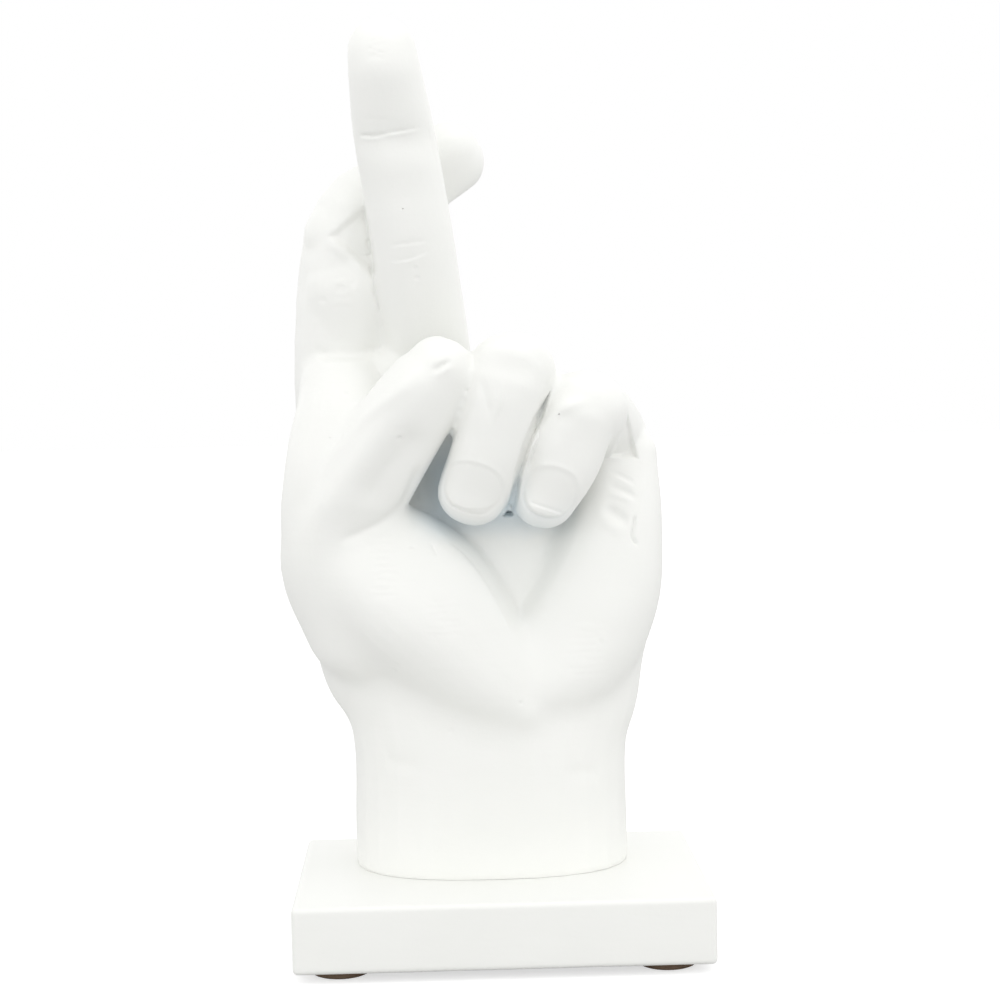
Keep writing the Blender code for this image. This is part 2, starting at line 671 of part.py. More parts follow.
def hand(group, cutters, finish):
    skin = cast_skin(group)
    blend_masses(skin)
    pads_and_hollows(skin)
    tendons(skin)
    creases(skin)
    nails(skin)
    foot = PLINTH_TOP + SEAT_GAP
    skin.points[:, 2] += foot + WRIST_LENGTH - HEEL_LEVEL
    skin.store()
    item = new_object("hand", skin.mesh, group, finish)
    item.data = thinned_mesh(item, HAND_TRIANGLES, len(skin.corners))
    item.modifiers.clear()
    block = block_mesh("wrist_cutter", 2 * PLINTH_WIDTH, 2 * PLINTH_WIDTH, FOOT_CUTTER)
    cutter = new_object("wrist_cutter", block, cutters)
    cutter.location = (0, 0, foot - FOOT_CUTTER / 2)
    cutter.hide_render = True
    cutter.display_type = "WIRE"
    cut = item.modifiers.new("flat foot", "BOOLEAN")
    cut.operation = "DIFFERENCE"
    cut.object = cutter
    item.data = evaluated_mesh(item)
    item.modifiers.clear()
    item.data.shade_smooth()
    item.data.set_sharp_from_angle(angle=SHARP_ANGLE)


def block_mesh(name, width, depth, height):
    shape = bmesh.new()
    bmesh.ops.create_cube(shape, size=1.0)
    bmesh.ops.scale(shape, vec=(width, depth, height), verts=shape.verts)
    mesh = bpy.data.meshes.new(name)
    shape.to_mesh(mesh)
    shape.free()
    return mesh


def disc_mesh(name, diameter, thickness):
    shape = bmesh.new()
    radius = diameter / 2
    bmesh.ops.create_cone(shape, cap_ends=True, segments=40, radius1=radius, radius2=radius, depth=thickness)
    mesh = bpy.data.meshes.new(name)
    shape.to_mesh(mesh)
    shape.free()
    return mesh


def soften_edges(item, radius, segments):
    bevel = item.modifiers.new("soft edges", "BEVEL")
    bevel.width = radius
    bevel.segments = segments
    item.data.shade_smooth()


def plinth(group, finish):
    mesh = block_mesh("plinth", PLINTH_WIDTH, PLINTH_DEPTH, PLINTH_HEIGHT)
    item = new_object("plinth", mesh, group, finish)
    item.location = (0, 0, PLINTH_TOP - PLINTH_HEIGHT / 2)
    soften_edges(item, PLINTH_EDGE_RADIUS, 3)


def pads(group, finish):
    reach_x = PLINTH_WIDTH / 2 - PAD_INSET - PAD_DIAMETER / 2
    reach_y = PLINTH_DEPTH / 2 - PAD_INSET - PAD_DIAMETER / 2
    for end, y in (("front", -reach_y), ("back", reach_y)):
        for flank, x in (("left", -reach_x), ("right", reach_x)):
            name = f"pad_{end}_{flank}"
            item = new_object(name, disc_mesh(name, PAD_DIAMETER, PAD_THICKNESS), group, finish)
            item.location = (x, y, PAD_THICKNESS / 2)
            soften_edges(item, PAD_EDGE_RADIUS, 2)


def main():
    clear_scene()
    group = new_collection("crossed_fingers_hand")
    cutters = new_collection("cutters")
    cast_white = new_material("cast_white", WHITE, 0.35)
    plinth_white = new_material("plinth_white", WHITE, 0.35)
    pad_black = new_material("pad_black", BLACK, 0.8)
    hand(group, cutters, cast_white)
    plinth(group, plinth_white)
    pads(group, pad_black)


main()
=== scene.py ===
"""Cast hand with crossed fingers on a plinth with round pads, dressed over its CAD frame.

Metres, +Z up. The palm faces -Y. Points of the hand are given from the middle of the plinth's
top face, as in the part's own source.
"""

import math

import bmesh
import bpy
import numpy as np
from mathutils import Matrix, Vector, noise

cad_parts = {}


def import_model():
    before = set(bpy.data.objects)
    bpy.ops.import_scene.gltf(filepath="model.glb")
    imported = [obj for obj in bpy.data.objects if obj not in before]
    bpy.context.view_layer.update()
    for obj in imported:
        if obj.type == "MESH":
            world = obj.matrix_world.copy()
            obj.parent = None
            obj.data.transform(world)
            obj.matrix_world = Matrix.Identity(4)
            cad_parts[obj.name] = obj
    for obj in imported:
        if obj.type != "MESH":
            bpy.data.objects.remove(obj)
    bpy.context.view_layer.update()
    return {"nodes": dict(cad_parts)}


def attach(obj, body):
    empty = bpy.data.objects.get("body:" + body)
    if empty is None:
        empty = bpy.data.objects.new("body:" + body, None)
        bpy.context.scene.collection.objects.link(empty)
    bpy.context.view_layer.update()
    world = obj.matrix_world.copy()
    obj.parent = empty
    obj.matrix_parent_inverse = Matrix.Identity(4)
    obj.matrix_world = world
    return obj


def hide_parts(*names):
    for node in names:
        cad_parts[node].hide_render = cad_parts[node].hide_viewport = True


# Plinth and its pads
PLINTH_WIDTH = 0.112
PLINTH_DEPTH = 0.080
PLINTH_HEIGHT = 0.018
PAD_THICKNESS = 0.0022
SEAT_GAP = 0.0003

# Wrist, cut flat where it stands on the plinth. The heel's level is its height in the hand's points
WRIST_WIDTH = 0.0775
WRIST_FRONT = 0.029
WRIST_BACK = 0.020
WRIST_LENGTH = 0.034
WRIST_PLACE = (-0.0018, 0.014)
HEEL_LEVEL = 0.034
FOOT_EXTRA = 0.010

# Full widths at the knuckle, the two joints and the tip
MIDDLE_WIDTHS = (0.0240, 0.0226, 0.0218, 0.0184)
INDEX_WIDTHS = (0.0262, 0.0236, 0.0202, 0.0192)
RING_WIDTHS = (0.0240, 0.0216, 0.0206, 0.0190)
PINKY_WIDTHS = (0.0230, 0.0212, 0.0194, 0.0174)
THUMB_WIDTHS = (0.0300, 0.0280, 0.0222, 0.0192)

# Knuckle, the two joints and the middle of the rounded tip of each finger
MIDDLE_JOINTS = (
    (-0.0140, 0.0165, 0.1190),
    (-0.0202, -0.0030, 0.1718),
    (-0.0250, -0.0100, 0.2040),
    (-0.0276, -0.0136, 0.2248),
)
INDEX_JOINTS = (
    (-0.0412, 0.0160, 0.1170),
    (-0.0380, 0.0090, 0.1762),
    (-0.0215, 0.0160, 0.1905),
    (-0.0095, 0.0170, 0.1988),
)
RING_JOINTS = (
    (0.0095, 0.0170, 0.1160),
    (0.0053, -0.0175, 0.1385),
    (-0.0005, -0.0192, 0.1195),
    (-0.0058, -0.0152, 0.1065),
)
PINKY_JOINTS = (
    (0.0340, 0.0150, 0.1115),
    (0.0248, -0.0135, 0.1280),
    (0.0188, -0.0155, 0.1145),
    (0.0133, -0.0128, 0.1042),
)
THUMB_JOINTS = (
    (-0.0375, -0.0010, 0.0685),
    (-0.0438, -0.0065, 0.0930),
    (-0.0230, -0.0190, 0.1275),
    (-0.0134, -0.0205, 0.1388),
)

# Where the fingers' roots run inside the palm
PALM_MIDDLE = (-0.004, 0.017, 0.040)
ROOT_SHARE = 0.38
ROOT_BACK = 0.0145
DEPTH_SHARE = 0.47

# Knuckles on the back of the hand: how far each lies behind its joint, and its share of the width
KNUCKLE_SET_BACKS = (0.0010, 0.0025, 0.0045, 0.0040)
KNUCKLE_SHARE = 0.95

# Rows of the palm, the heel and the web: x, y, z, half width, half front and half back
PALM_ROWS = (
    (-0.0016, 0.0150, 0.0460, 0.0429, 0.0280, 0.0185),
    (-0.0029, 0.0160, 0.0600, 0.0474, 0.0255, 0.0172),
    (-0.0036, 0.0160, 0.0780, 0.0502, 0.0180, 0.0165),
    (-0.0038, 0.0160, 0.0950, 0.0516, 0.0150, 0.0158),
    (-0.0048, 0.0160, 0.1040, 0.0508, 0.0145, 0.0138),
    (-0.0052, 0.0160, 0.1100, 0.0480, 0.0125, 0.0112),
)
THENAR_ROWS = (
    (0.0020, 0.0030, 0.0470, 0.0120, 0.0205, 0.0120),
    (-0.0080, -0.0015, 0.0590, 0.0170, 0.0195, 0.0140),
    (-0.0210, -0.0045, 0.0750, 0.0210, 0.0195, 0.0140),
    (-0.0335, -0.0060, 0.0865, 0.0195, 0.0165, 0.0140),
    (-0.0430, -0.0065, 0.0945, 0.0140, 0.0130, 0.0130),
)
HYPOTHENAR_ROWS = (
    (0.0060, 0.0040, 0.0470, 0.0120, 0.0205, 0.0120),
    (0.0195, 0.0020, 0.0600, 0.0180, 0.0165, 0.0140),
    (0.0285, 0.0020, 0.0780, 0.0180, 0.0150, 0.0140),
    (0.0335, 0.0035, 0.0960, 0.0140, 0.0140, 0.0140),
    (0.0355, 0.0060, 0.1140, 0.0108, 0.0125, 0.0130),
)
WEB_ROWS = (
    (-0.0410, 0.0030, 0.1345, 0.0120, 0.0105, 0.0100),
    (-0.0400, -0.0030, 0.1250, 0.0145, 0.0130, 0.0120),
    (-0.0425, -0.0070, 0.1120, 0.0145, 0.0140, 0.0120),
    (-0.0465, -0.0060, 0.0980, 0.0125, 0.0120, 0.0120),
)

# Floor of the palm behind the folded fingertips, and the web between the crossed fingers' roots
FLOOR_ROWS = (
    (0.0060, 0.0060, 0.0700, 0.0100, 0.0110, 0.0100),
    (0.0060, 0.0060, 0.0850, 0.0140, 0.0105, 0.0100),
    (0.0020, 0.0060, 0.1000, 0.0190, 0.0100, 0.0100),
    (-0.0010, 0.0070, 0.1120, 0.0200, 0.0090, 0.0100),
    (-0.0030, 0.0080, 0.1220, 0.0180, 0.0090, 0.0100),
)
ROOT_WEB_ROWS = (
    (-0.0262, 0.0100, 0.1200, 0.0090, 0.0110, 0.0080),
    (-0.0262, 0.0080, 0.1310, 0.0090, 0.0115, 0.0080),
    (-0.0262, 0.0060, 0.1400, 0.0065, 0.0085, 0.0070),
)

# Fleshy pad of the index finger under its first bend, as rows like those of the palm
INDEX_PAD_ROWS = (
    (-0.0400, 0.0110, 0.1420, 0.0118, 0.0095, 0.0090),
    (-0.0395, 0.0090, 0.1520, 0.0120, 0.0105, 0.0090),
    (-0.0390, 0.0070, 0.1620, 0.0118, 0.0110, 0.0090),
    (-0.0385, 0.0070, 0.1660, 0.0112, 0.0104, 0.0090),
)

# Where the folded fingers are pressed together, behind the crevice between them
PRESSED_BACK = 0.0060
PRESSED_HALF = 0.0058

# Hollow of the palm, behind the folded fingertips
HOLLOW_EDGE = (
    (-0.0155, 0.0965),
    (-0.0110, 0.0878),
    (-0.0050, 0.0800),
    (0.0005, 0.0740),
    (0.0022, 0.0690),
    (0.0060, 0.0660),
    (0.0120, 0.0690),
    (0.0200, 0.0770),
    (0.0262, 0.0848),
    (0.0308, 0.0963),
    (0.0320, 0.1100),
    (-0.0155, 0.1100),
)
HOLLOW_HEART = (
    (-0.0155, 0.0965),
    (-0.0110, 0.0878),
    (-0.0050, 0.0800),
    (0.0005, 0.0740),
    (0.0022, 0.0690),
    (0.0048, 0.0668),
    (0.0090, 0.0705),
    (0.0150, 0.0790),
    (0.0205, 0.0880),
    (0.0245, 0.0990),
    (0.0255, 0.1100),
    (-0.0155, 0.1100),
)
HOLLOW_DEPTH = 0.0010
HOLLOW_WALL = 0.0085
HEART_DEPTH = 0.0010
HEART_WALL = 0.0040
HOLLOW_FRONT = 0.0150

# Wedge that opens at the index finger's bend
WEDGE_EDGE = (
    (-0.0446, 0.1763),
    (-0.0391, 0.1808),
    (-0.0339, 0.1850),
    (-0.0300, 0.1860),
    (-0.0300, 0.1640),
    (-0.0326, 0.1655),
    (-0.0391, 0.1722),
)
WEDGE_DEPTH = 0.0013
WEDGE_WALL = 0.0022
WEDGE_FRONT = 0.0080

# Notch at the outer side of the little finger's bend
NOTCH_EDGE = (
    (0.0367, 0.1285),
    (0.0404, 0.1137),
    (0.0312, 0.1145),
)
NOTCH_DEPTH = 0.0022
NOTCH_WALL = 0.0016

# Directions across the fingers, along their joint axes
UPWARD = (0, 0, 1)
ACROSS = (1, 0, 0)
FRONT = (0, -1, 0)
BACK = (0, 1, 0)
MIDDLE_ACROSS = (1, 0, 0.1)
INDEX_BEND_ACROSS = (0.75, 0.55, -0.3)
INDEX_TIP_ACROSS = (0.40, 0.53, -0.72)
RING_ACROSS = (1, 0, -0.25)
PINKY_ACROSS = (0.80, 0.45, -0.35)
THUMB_ROOT_ACROSS = (0.70, 0.20, 0.65)
THUMB_TIP_ACROSS = (0.69, 0.51, -0.52)
THENAR_ACROSS = (0.68, 0.38, 0.62)
HYPOTHENAR_ACROSS = (0.74, -0.37, -0.56)

# Thumb's crest and the hollow plane under it, the wedge's lower lip, and the folded fingers' crevice
THUMB_CREST = (
    (-0.0150, -0.024, 0.1375),
    (-0.0225, -0.024, 0.1305),
    (-0.0330, -0.022, 0.1250),
    (-0.0400, -0.018, 0.1160),
    (-0.0450, -0.015, 0.1080),
)
CREST_OUT = (-0.3, -0.8, 0.5)
THUMB_HOLLOW = (
    (-0.0180, -0.028, 0.1250),
    (-0.0270, -0.026, 0.1150),
    (-0.0370, -0.020, 0.1040),
)
THUMB_OUT = (0.2, -0.9, -0.3)
WEDGE_LIP = (
    (-0.0450, -0.001, 0.1756),
    (-0.0391, -0.002, 0.1713),
    (-0.0326, -0.002, 0.1644),
)
CREVICE_EDGE = (
    (0.0162, 0.1350),
    (0.0130, 0.1250),
    (0.0098, 0.1180),
    (0.0076, 0.1110),
    (0.0056, 0.0985),
    (0.0026, 0.0985),
    (0.0049, 0.1120),
    (0.0072, 0.1200),
    (0.0104, 0.1270),
)
CREVICE_DEPTH = 0.0034
CREVICE_WALL = 0.0010
CREVICE_FRONT = 0.0290

# Broad strokes: line, breadth, depth, which is negative where it stands up, and the way it faces
BROAD_STROKES = (
    (THUMB_CREST, 0.0022, -0.0010, CREST_OUT),
    (THUMB_HOLLOW, 0.0040, 0.0012, THUMB_OUT),
    (WEDGE_LIP, 0.0013, -0.0004, FRONT),
)
BROAD_REACH = 0.010

# Soft mounds and hollows on the front: place, spread along each axis, and height
SWELLS = (
    ((-0.0272, -0.0225, 0.2190), (0.0085, 0.012, 0.0085), 0.0030),
    ((-0.0240, -0.0190, 0.2005), (0.0110, 0.012, 0.0050), -0.0015),
    ((-0.0225, -0.0150, 0.1880), (0.0110, 0.012, 0.0085), -0.0010),
    ((0.0053, -0.0265, 0.1442), (0.0080, 0.008, 0.0038), 0.0016),
    ((0.0120, -0.0235, 0.1195), (0.0045, 0.008, 0.0065), 0.0015),
    ((0.0238, -0.0225, 0.1215), (0.0060, 0.008, 0.0070), -0.0013),
    ((-0.0420, -0.0070, 0.1400), (0.0140, 0.012, 0.0030), 0.0005),
)

PLINTH_TOP = PAD_THICKNESS + SEAT_GAP + PLINTH_HEIGHT

# Fineness of the skin, and how far its foot is drawn in where it meets the plinth
SKIN_CELL = 0.0010
SKIN_TRIANGLES = 186000
SECTION_POINTS = 28
STEPS_BETWEEN = 6
DOME_LIFTS = (0.25, 0.5, 0.7, 0.85, 0.95, 0.995)
UNEVEN_HEIGHT = 0.00009
FOOT_ROUND_HEIGHT = 0.0014
FOOT_ROUND_DEPTH = 0.0003
TOUCH_GAP = 0.00004

# Where the masses are blended. A fade names an axis, where its share is 0 and where it is 1
HEEL_FADES = ((2, 0.112, 0.092),)
BACK_FADES = ((1, 0.008, 0.016), (2, 0.165, 0.140))
WEB_FADES = ((0, -0.026, -0.036), (2, 0.096, 0.106), (2, 0.165, 0.135))
THUMB_BALL_FADES = ((0, 0.006, -0.004), (2, 0.090, 0.078), (1, 0.012, 0.004))
CREVICE_SIDES = ((1, -0.0250, -0.0215), (0, 0.000, 0.004), (0, 0.026, 0.020))
CREVICE_ENDS = ((2, 0.096, 0.100), (2, 0.150, 0.140))
VALLEY_SIDES = ((0, -0.0375, -0.0345), (0, -0.0225, -0.0260), (1, 0.004, -0.002))
VALLEY_ENDS = ((2, 0.140, 0.146), (2, 0.168, 0.160))
OUTER_EDGE_FADES = ((0, -0.036, -0.042), (2, 0.036, 0.042), (2, 0.104, 0.098))

# How far the hollow creases are filled in each of those places, and passes along the outer edge
SEAM_FILL = 0.0070
BACK_FILL = 0.0080
THUMB_BALL_FILL = 0.0080
CREVICE_FILL = 0.0036
VALLEY_FILL = 0.0034
OVERALL_FILL = 0.0012
OUTER_EDGE_PASSES = 50

# Painted shade, a cooler and darker white, in the hollow round the folded fingertips, held in the same kind
# of fades. It lies under or behind the tips
PAINTED_SHADE_DEPTHS = ((1, -0.022, -0.013), (1, 0.010, 0.004))
PAINTED_SHADE_SIDES = ((0, -0.024, -0.015), (0, 0.024, 0.012))
PAINTED_SHADE_ENDS = ((2, 0.092, 0.100), (2, 0.138, 0.124))
UNDER_TIPS = ((2, 0.124, 0.112),)
BEHIND_TIPS = ((1, -0.006, -0.012),)
PAINTED_SHADE_MARK = "painted_shade"

# Cords on the back of the hand, and the valleys between the knuckles: x and z of their upper ends
TENDON_TOPS = ((-0.036, 0.110), (-0.012, 0.112), (0.011, 0.106), (0.030, 0.098))
TENDON_BREADTH = 0.0042
TENDON_DEPTH = -0.0006
KNUCKLE_VALLEYS = ((-0.025, 0.118), (-0.001, 0.117), (0.020, 0.110))
KNUCKLE_VALLEY_BREADTH = 0.0045
KNUCKLE_VALLEY_DEPTH = 0.0018
BACK_REACH = 0.012

# Fine creases: breadth, depth, height of the lit lip under them, share that tapers, and the line
FINE_CREASES = (
    (0.0004, 0.00070, 0.00020, 0.35, (
        (-0.0345, -0.019, 0.2024), (-0.0305, -0.019, 0.2018), (-0.0262, -0.019, 0.2023),
    )),
    (0.0004, 0.00030, 0.00025, 0.35, (
        (-0.0290, -0.019, 0.2020), (-0.0225, -0.019, 0.2030), (-0.0170, -0.019, 0.2040),
    )),
    (0.0004, 0.0008, 0.0, 0.10, (
        (-0.0340, -0.003, 0.1840), (-0.0328, -0.003, 0.1750), (-0.0320, -0.003, 0.1670),
        (-0.0309, -0.003, 0.1590), (-0.0298, -0.003, 0.1535),
    )),
    (0.0005, 0.0001, 0.0, 0.30, (
        (-0.0340, -0.019, 0.2062), (-0.0290, -0.019, 0.2060), (-0.0240, -0.019, 0.2053),
    )),
    (0.0004, 0.0002, 0.00008, 0.35, (
        (-0.0276, -0.013, 0.1729), (-0.0225, -0.013, 0.1735), (-0.0155, -0.013, 0.1742),
    )),
    (0.0004, 0.0002, 0.00010, 0.35, (
        (-0.0280, -0.013, 0.1690), (-0.0213, -0.013, 0.1695), (-0.0150, -0.013, 0.1722),
    )),
    (0.0013, 0.0008, 0.00030, 0.15, (
        (-0.0490, -0.005, 0.1447), (-0.0395, -0.005, 0.1441), (-0.0290, -0.005, 0.1455),
    )),
    (0.0008, 0.0010, 0.00020, 0.40, (
        (-0.0165, -0.026, 0.1388), (-0.0136, -0.026, 0.1407), (-0.0105, -0.026, 0.1425),
    )),
    (0.0013, 0.0007, 0.0, 0.15, (
        (-0.0194, -0.018, 0.1154), (-0.0217, -0.018, 0.1095), (-0.0245, -0.018, 0.1040),
        (-0.0286, -0.018, 0.1003), (-0.0350, -0.018, 0.0970), (-0.0423, -0.018, 0.0942),
    )),
    (0.0006, 0.0004, 0.00020, 0.45, (
        (0.0315, -0.009, 0.1108), (0.0357, -0.009, 0.1092), (0.0395, -0.009, 0.1068),
    )),
    (0.0009, 0.0006, 0.00040, 0.40, (
        (0.0310, -0.009, 0.1068), (0.0359, -0.009, 0.1053), (0.0400, -0.009, 0.1029),
    )),
    (0.0016, 0.0010, 0.00040, 0.40, (
        (0.0292, -0.009, 0.1012), (0.0334, -0.009, 0.0990), (0.0376, -0.009, 0.0958),
    )),
    (0.0004, 0.0008, 0.0, 0.20, (
        (0.0386, -0.009, 0.0991), (0.0380, -0.009, 0.0953), (0.0377, -0.009, 0.0928),
        (0.0393, -0.009, 0.0903),
    )),
    (0.0004, 0.0003, 0.0, 0.20, (
        (-0.0175, -0.024, 0.0932), (-0.0165, -0.024, 0.0916), (-0.0158, -0.024, 0.0897),
    )),
    (0.0024, 0.0003, 0.0, 0.30, (
        (-0.0390, -0.014, 0.0352), (-0.0298, -0.015, 0.0325), (-0.0190, -0.015, 0.0309),
    )),
    (0.0024, 0.0003, 0.0, 0.30, (
        (0.0160, -0.015, 0.0283), (0.0274, -0.015, 0.0281), (0.0365, -0.013, 0.0295),
    )),
    (0.0005, -0.0004, 0.0, 0.40, (
        (0.0024, -0.028, 0.1383), (0.0020, -0.028, 0.1320), (-0.0005, -0.028, 0.1242),
    )),
    (0.0012, 0.0004, 0.0, 0.40, (
        (-0.0034, -0.028, 0.1390), (-0.0020, -0.028, 0.1316), (-0.0005, -0.028, 0.1242),
    )),
    (0.0014, -0.0008, 0.0, 0.30, (
        (0.0100, -0.024, 0.1170), (0.0125, -0.024, 0.1225), (0.0177, -0.023, 0.1284),
        (0.0270, -0.020, 0.1312),
    )),
    (0.0006, -0.0004, 0.0, 0.20, (
        (0.0366, -0.012, 0.1272), (0.0321, -0.014, 0.1156), (0.0262, -0.016, 0.1066),
        (0.0210, -0.014, 0.0985),
    )),
)

# Wrinkles in rows: first and last level, how many, their two ends, depth and the front that they lie near
WRINKLES = (
    (0.2215, 0.2262, 6, -0.0330, -0.0255, 0.00014, -0.022),
    (0.0800, 0.0950, 9, -0.0350, -0.0250, 0.00013, -0.024),
    (0.1570, 0.1650, 4, -0.0440, -0.0360, 0.00012, -0.004),
    (0.0560, 0.0700, 8, 0.0150, 0.0330, 0.00006, -0.015),
    (0.0690, 0.0780, 6, -0.0210, -0.0080, 0.00007, -0.022),
)

WRINKLE_BREADTH = 0.00045
WRINKLE_SWAY = 0.0004
WRINKLE_INSET = 0.16

# Pinholes and small dents: place, radius and depth
PINHOLES = (
    ((-0.0394, -0.020, 0.1336), 0.0005, 0.0006),
    ((-0.0251, -0.026, 0.1219), 0.0005, 0.0005),
    ((-0.0226, -0.023, 0.0920), 0.0004, 0.0005),
    ((-0.0056, -0.026, 0.1442), 0.0006, 0.0008),
    ((-0.0200, -0.014, 0.1670), 0.0005, 0.0003),
    ((-0.0195, -0.014, 0.1643), 0.0005, 0.0003),
    ((-0.0406, -0.004, 0.1617), 0.0010, 0.0003),
    ((-0.0456, -0.003, 0.1591), 0.0008, 0.0002),
    ((-0.0373, -0.005, 0.1635), 0.0009, 0.0003),
    ((-0.0279, -0.012, 0.0589), 0.0004, 0.0004),
    ((-0.0273, -0.012, 0.0609), 0.0003, 0.0004),
    ((0.0282, -0.014, 0.0650), 0.0004, 0.0003),
    ((0.0061, -0.014, 0.0490), 0.0004, 0.0004),
    ((-0.0132, -0.015, 0.0412), 0.0004, 0.0003),
)

# Nails: centre, direction to the tip, outward direction, length, width, and depth of the free edge
NAILS = (
    ((-0.0061, -0.0250, 0.1080), (-0.28, 0.15, -1), (-0.10, -1, -0.05), 0.0132, 0.0152, 0.0005),
    ((0.0149, -0.0220, 0.1061), (-0.35, 0.15, -1), (0.05, -1, 0.0), 0.0132, 0.0136, 0.0009),
    ((-0.0285, -0.0035, 0.2245), (-0.1, -0.1, 1), (0, 1, 0.15), 0.0140, 0.0140, 0.0005),
    ((-0.0125, 0.0240, 0.2020), (0.8, 0.05, 0.55), (-0.3, 0.85, 0.45), 0.0135, 0.0140, 0.0005),
    ((-0.0165, -0.0155, 0.1430), (0.65, 0, 0.75), (-0.55, 0.45, 0.65), 0.0150, 0.0150, 0.0004),
)
NAIL_EDGES = (
    (
        (-0.0126, -0.025, 0.1040), (-0.0094, -0.025, 0.1027), (-0.0057, -0.025, 0.1021),
        (-0.0020, -0.025, 0.1023), (0.0006, -0.025, 0.1036),
    ),
    (
        (0.0088, -0.022, 0.1043), (0.0120, -0.022, 0.1029), (0.0155, -0.022, 0.1017),
        (0.0190, -0.022, 0.1001),
    ),
)

NAIL_EDGE_BREADTH = 0.00035
NAIL_EDGE_DEPTH = 0.0003
NAIL_EDGE_LIP = 0.00015

# Round each nail: the moat, the fold of skin outside it and the plate's rim, all as distances
NAIL_SQUARENESS = 2.4
MOAT_DEPTH = 0.00022
MOAT_DEEPER_AT_TIP = 0.00025
MOAT_PLACE = 0.0001
MOAT_BREADTH = 0.00038
FOLD_HEIGHT = 0.00020
FOLD_PLACE = 0.0010
FOLD_BREADTH = 0.0006
PLATE_RIM = 0.0005

# Plinth's painted edges, softer than the bare block's
SOFT_EDGE_RADIUS = 0.0014
SOFT_EDGE_SEGMENTS = 5
LONG_EDGE_CUTS = 24
EDGE_SWAY = 0.00010

# Colours of the white paint, the painted shade round the folded fingertips, the dirt in the pits and the
# pads, and the size of the pits
PAINT_SHADES = ((0.3, (0.893, 0.898, 0.868, 1)), (0.7, (0.906, 0.909, 0.882, 1)))
# Painted shade: a cooler, darker white for the hollow round the folded fingertips
RECESS_PAINTED_SHADE = (0.770, 0.840, 0.875, 1)
DIRT = (0.62, 0.61, 0.58, 1)
PAD_BLACK = (0.016, 0.014, 0.013, 1)
PAD_BROWN = (0.16, 0.105, 0.068, 1)
PIT_REACH = (0.006, 0.016)
HAND_PIT_SCALE = 60.0
PLINTH_PIT_SCALE = 45.0

# White table under the object: half its side, its grey and how much it glows for the camera
TABLE_HALF = 3.0
TABLE_GREY = 0.60
TABLE_GLOW = 0.6

# Brightness of the room from straight below (0) to straight above (1), as shares of its brightest
# band, and what its front and its two sides add
ROOM_LEVELS = ((0.0, 0.57), (0.25, 0.57), (0.5, 0.65), (0.62, 1.0), (0.8, 0.58), (1.0, 0.82))
ROOM_BRIGHTEST = 1.35
ROOM_FRONT = 0.29
ROOM_SIDES = 0.14
LAMP_POWER = 0.8
LAMP_PLACE = (0.30, -0.10, 1.1)
LAMP_AIM = (0, 0, 0.12)
LAMP_SIZE = 0.9

# Camera, solved from the plinth's corners in the photograph
CAMERA_PLACE = (-0.0148, -0.5938, 0.1673)
CAMERA_YAW = 1.62
CAMERA_DOWN = 4.21
CAMERA_ROLL = -1.12
CAMERA_LENS = 77.4
SENSOR = 36.0


# Lofts of oval sections


def unit(vector):
    vector = np.asarray(vector, float)
    return vector / np.linalg.norm(vector)


def smooth_path(points, steps):
    """Rows on a Catmull-Rom curve through the rows given, ends included."""
    rows = np.asarray(points, float)
    padded = np.vstack([2 * rows[0] - rows[1], rows, 2 * rows[-1] - rows[-2]])
    path = []
    for i in range(1, len(padded) - 2):
        a, b, c, d = padded[i - 1 : i + 3]
        for t in np.arange(steps) / steps:
            pull = (c - a) * t
            bend = (2 * a - 5 * b + 4 * c - d) * t**2
            twist = (3 * b - a - 3 * c + d) * t**3
            path.append(0.5 * (2 * b + pull + bend + twist))
    path.append(rows[-1])
    return np.array(path)


def section(row, heading, side, lift, square):
    """One ring of a loft. A row is x, y, z, half width, half front and half back."""
    share = math.sqrt(1 - lift**2)
    centre = row[:3] + unit(heading) * lift * min(row[3], (row[4] + row[5]) / 2)
    across = unit(side - heading * (side @ heading) / (heading @ heading))
    deep = unit(np.cross(heading, across))
    ring = []
    for k in range(SECTION_POINTS):
        turn = 2 * math.pi * k / SECTION_POINTS
        c, s = math.cos(turn), math.sin(turn)
        depth = row[5] if s > 0 else row[4]
        u = math.copysign(abs(c) ** (2 / square), c) * row[3] * share
        v = math.copysign(abs(s) ** (2 / square), s) * depth * share
        ring.append(centre + across * u + deep * v)
    return ring


def turned_sides(sides, count):
    """The directions across, spread evenly over this many rows."""
    places = np.linspace(0, 1, count)
    given = np.linspace(0, 1, len(sides))
    return np.array([np.interp(places, given, axis) for axis in np.array(sides, float).T]).T


def add_loft(shape, stations, sides, square=2.0):
    """Adds a closed loft with domed ends to the bmesh. The sides point along the half width."""
    rows = smooth_path(stations, STEPS_BETWEEN)
    turns = turned_sides(sides, len(rows))
    headings = np.gradient(rows[:, :3], axis=0)
    rings = [section(rows[0], headings[0], turns[0], -lift, square) for lift in DOME_LIFTS[::-1]]
    rings += [section(row, heading, side, 0.0, square) for row, heading, side in zip(rows, headings, turns)]
    rings += [section(rows[-1], headings[-1], turns[-1], lift, square) for lift in DOME_LIFTS]
    loops = [[shape.verts.new(point) for point in ring] for ring in rings]
    for low, high in zip(loops, loops[1:]):
        for k in range(SECTION_POINTS):
            j = (k + 1) % SECTION_POINTS
            shape.faces.new((low[k], low[j], high[j], high[k]))
    shape.faces.new(loops[0][::-1])
    shape.faces.new(loops[-1])


def finger_stations(joints, widths, rooted=True):
    """Stations at the joints, after a root that lies inside the palm as the hand's bones do."""
    rows = []
    if rooted:
        root = np.array(joints[0]) + ROOT_SHARE * (np.array(PALM_MIDDLE) - joints[0])
        rows.append((*root, widths[0] / 2, widths[0] / 2, ROOT_BACK))
    for joint, width in zip(joints, widths):
        rows.append((*joint, width / 2, width * DEPTH_SHARE, width * DEPTH_SHARE))
    return rows


# The masses of the hand


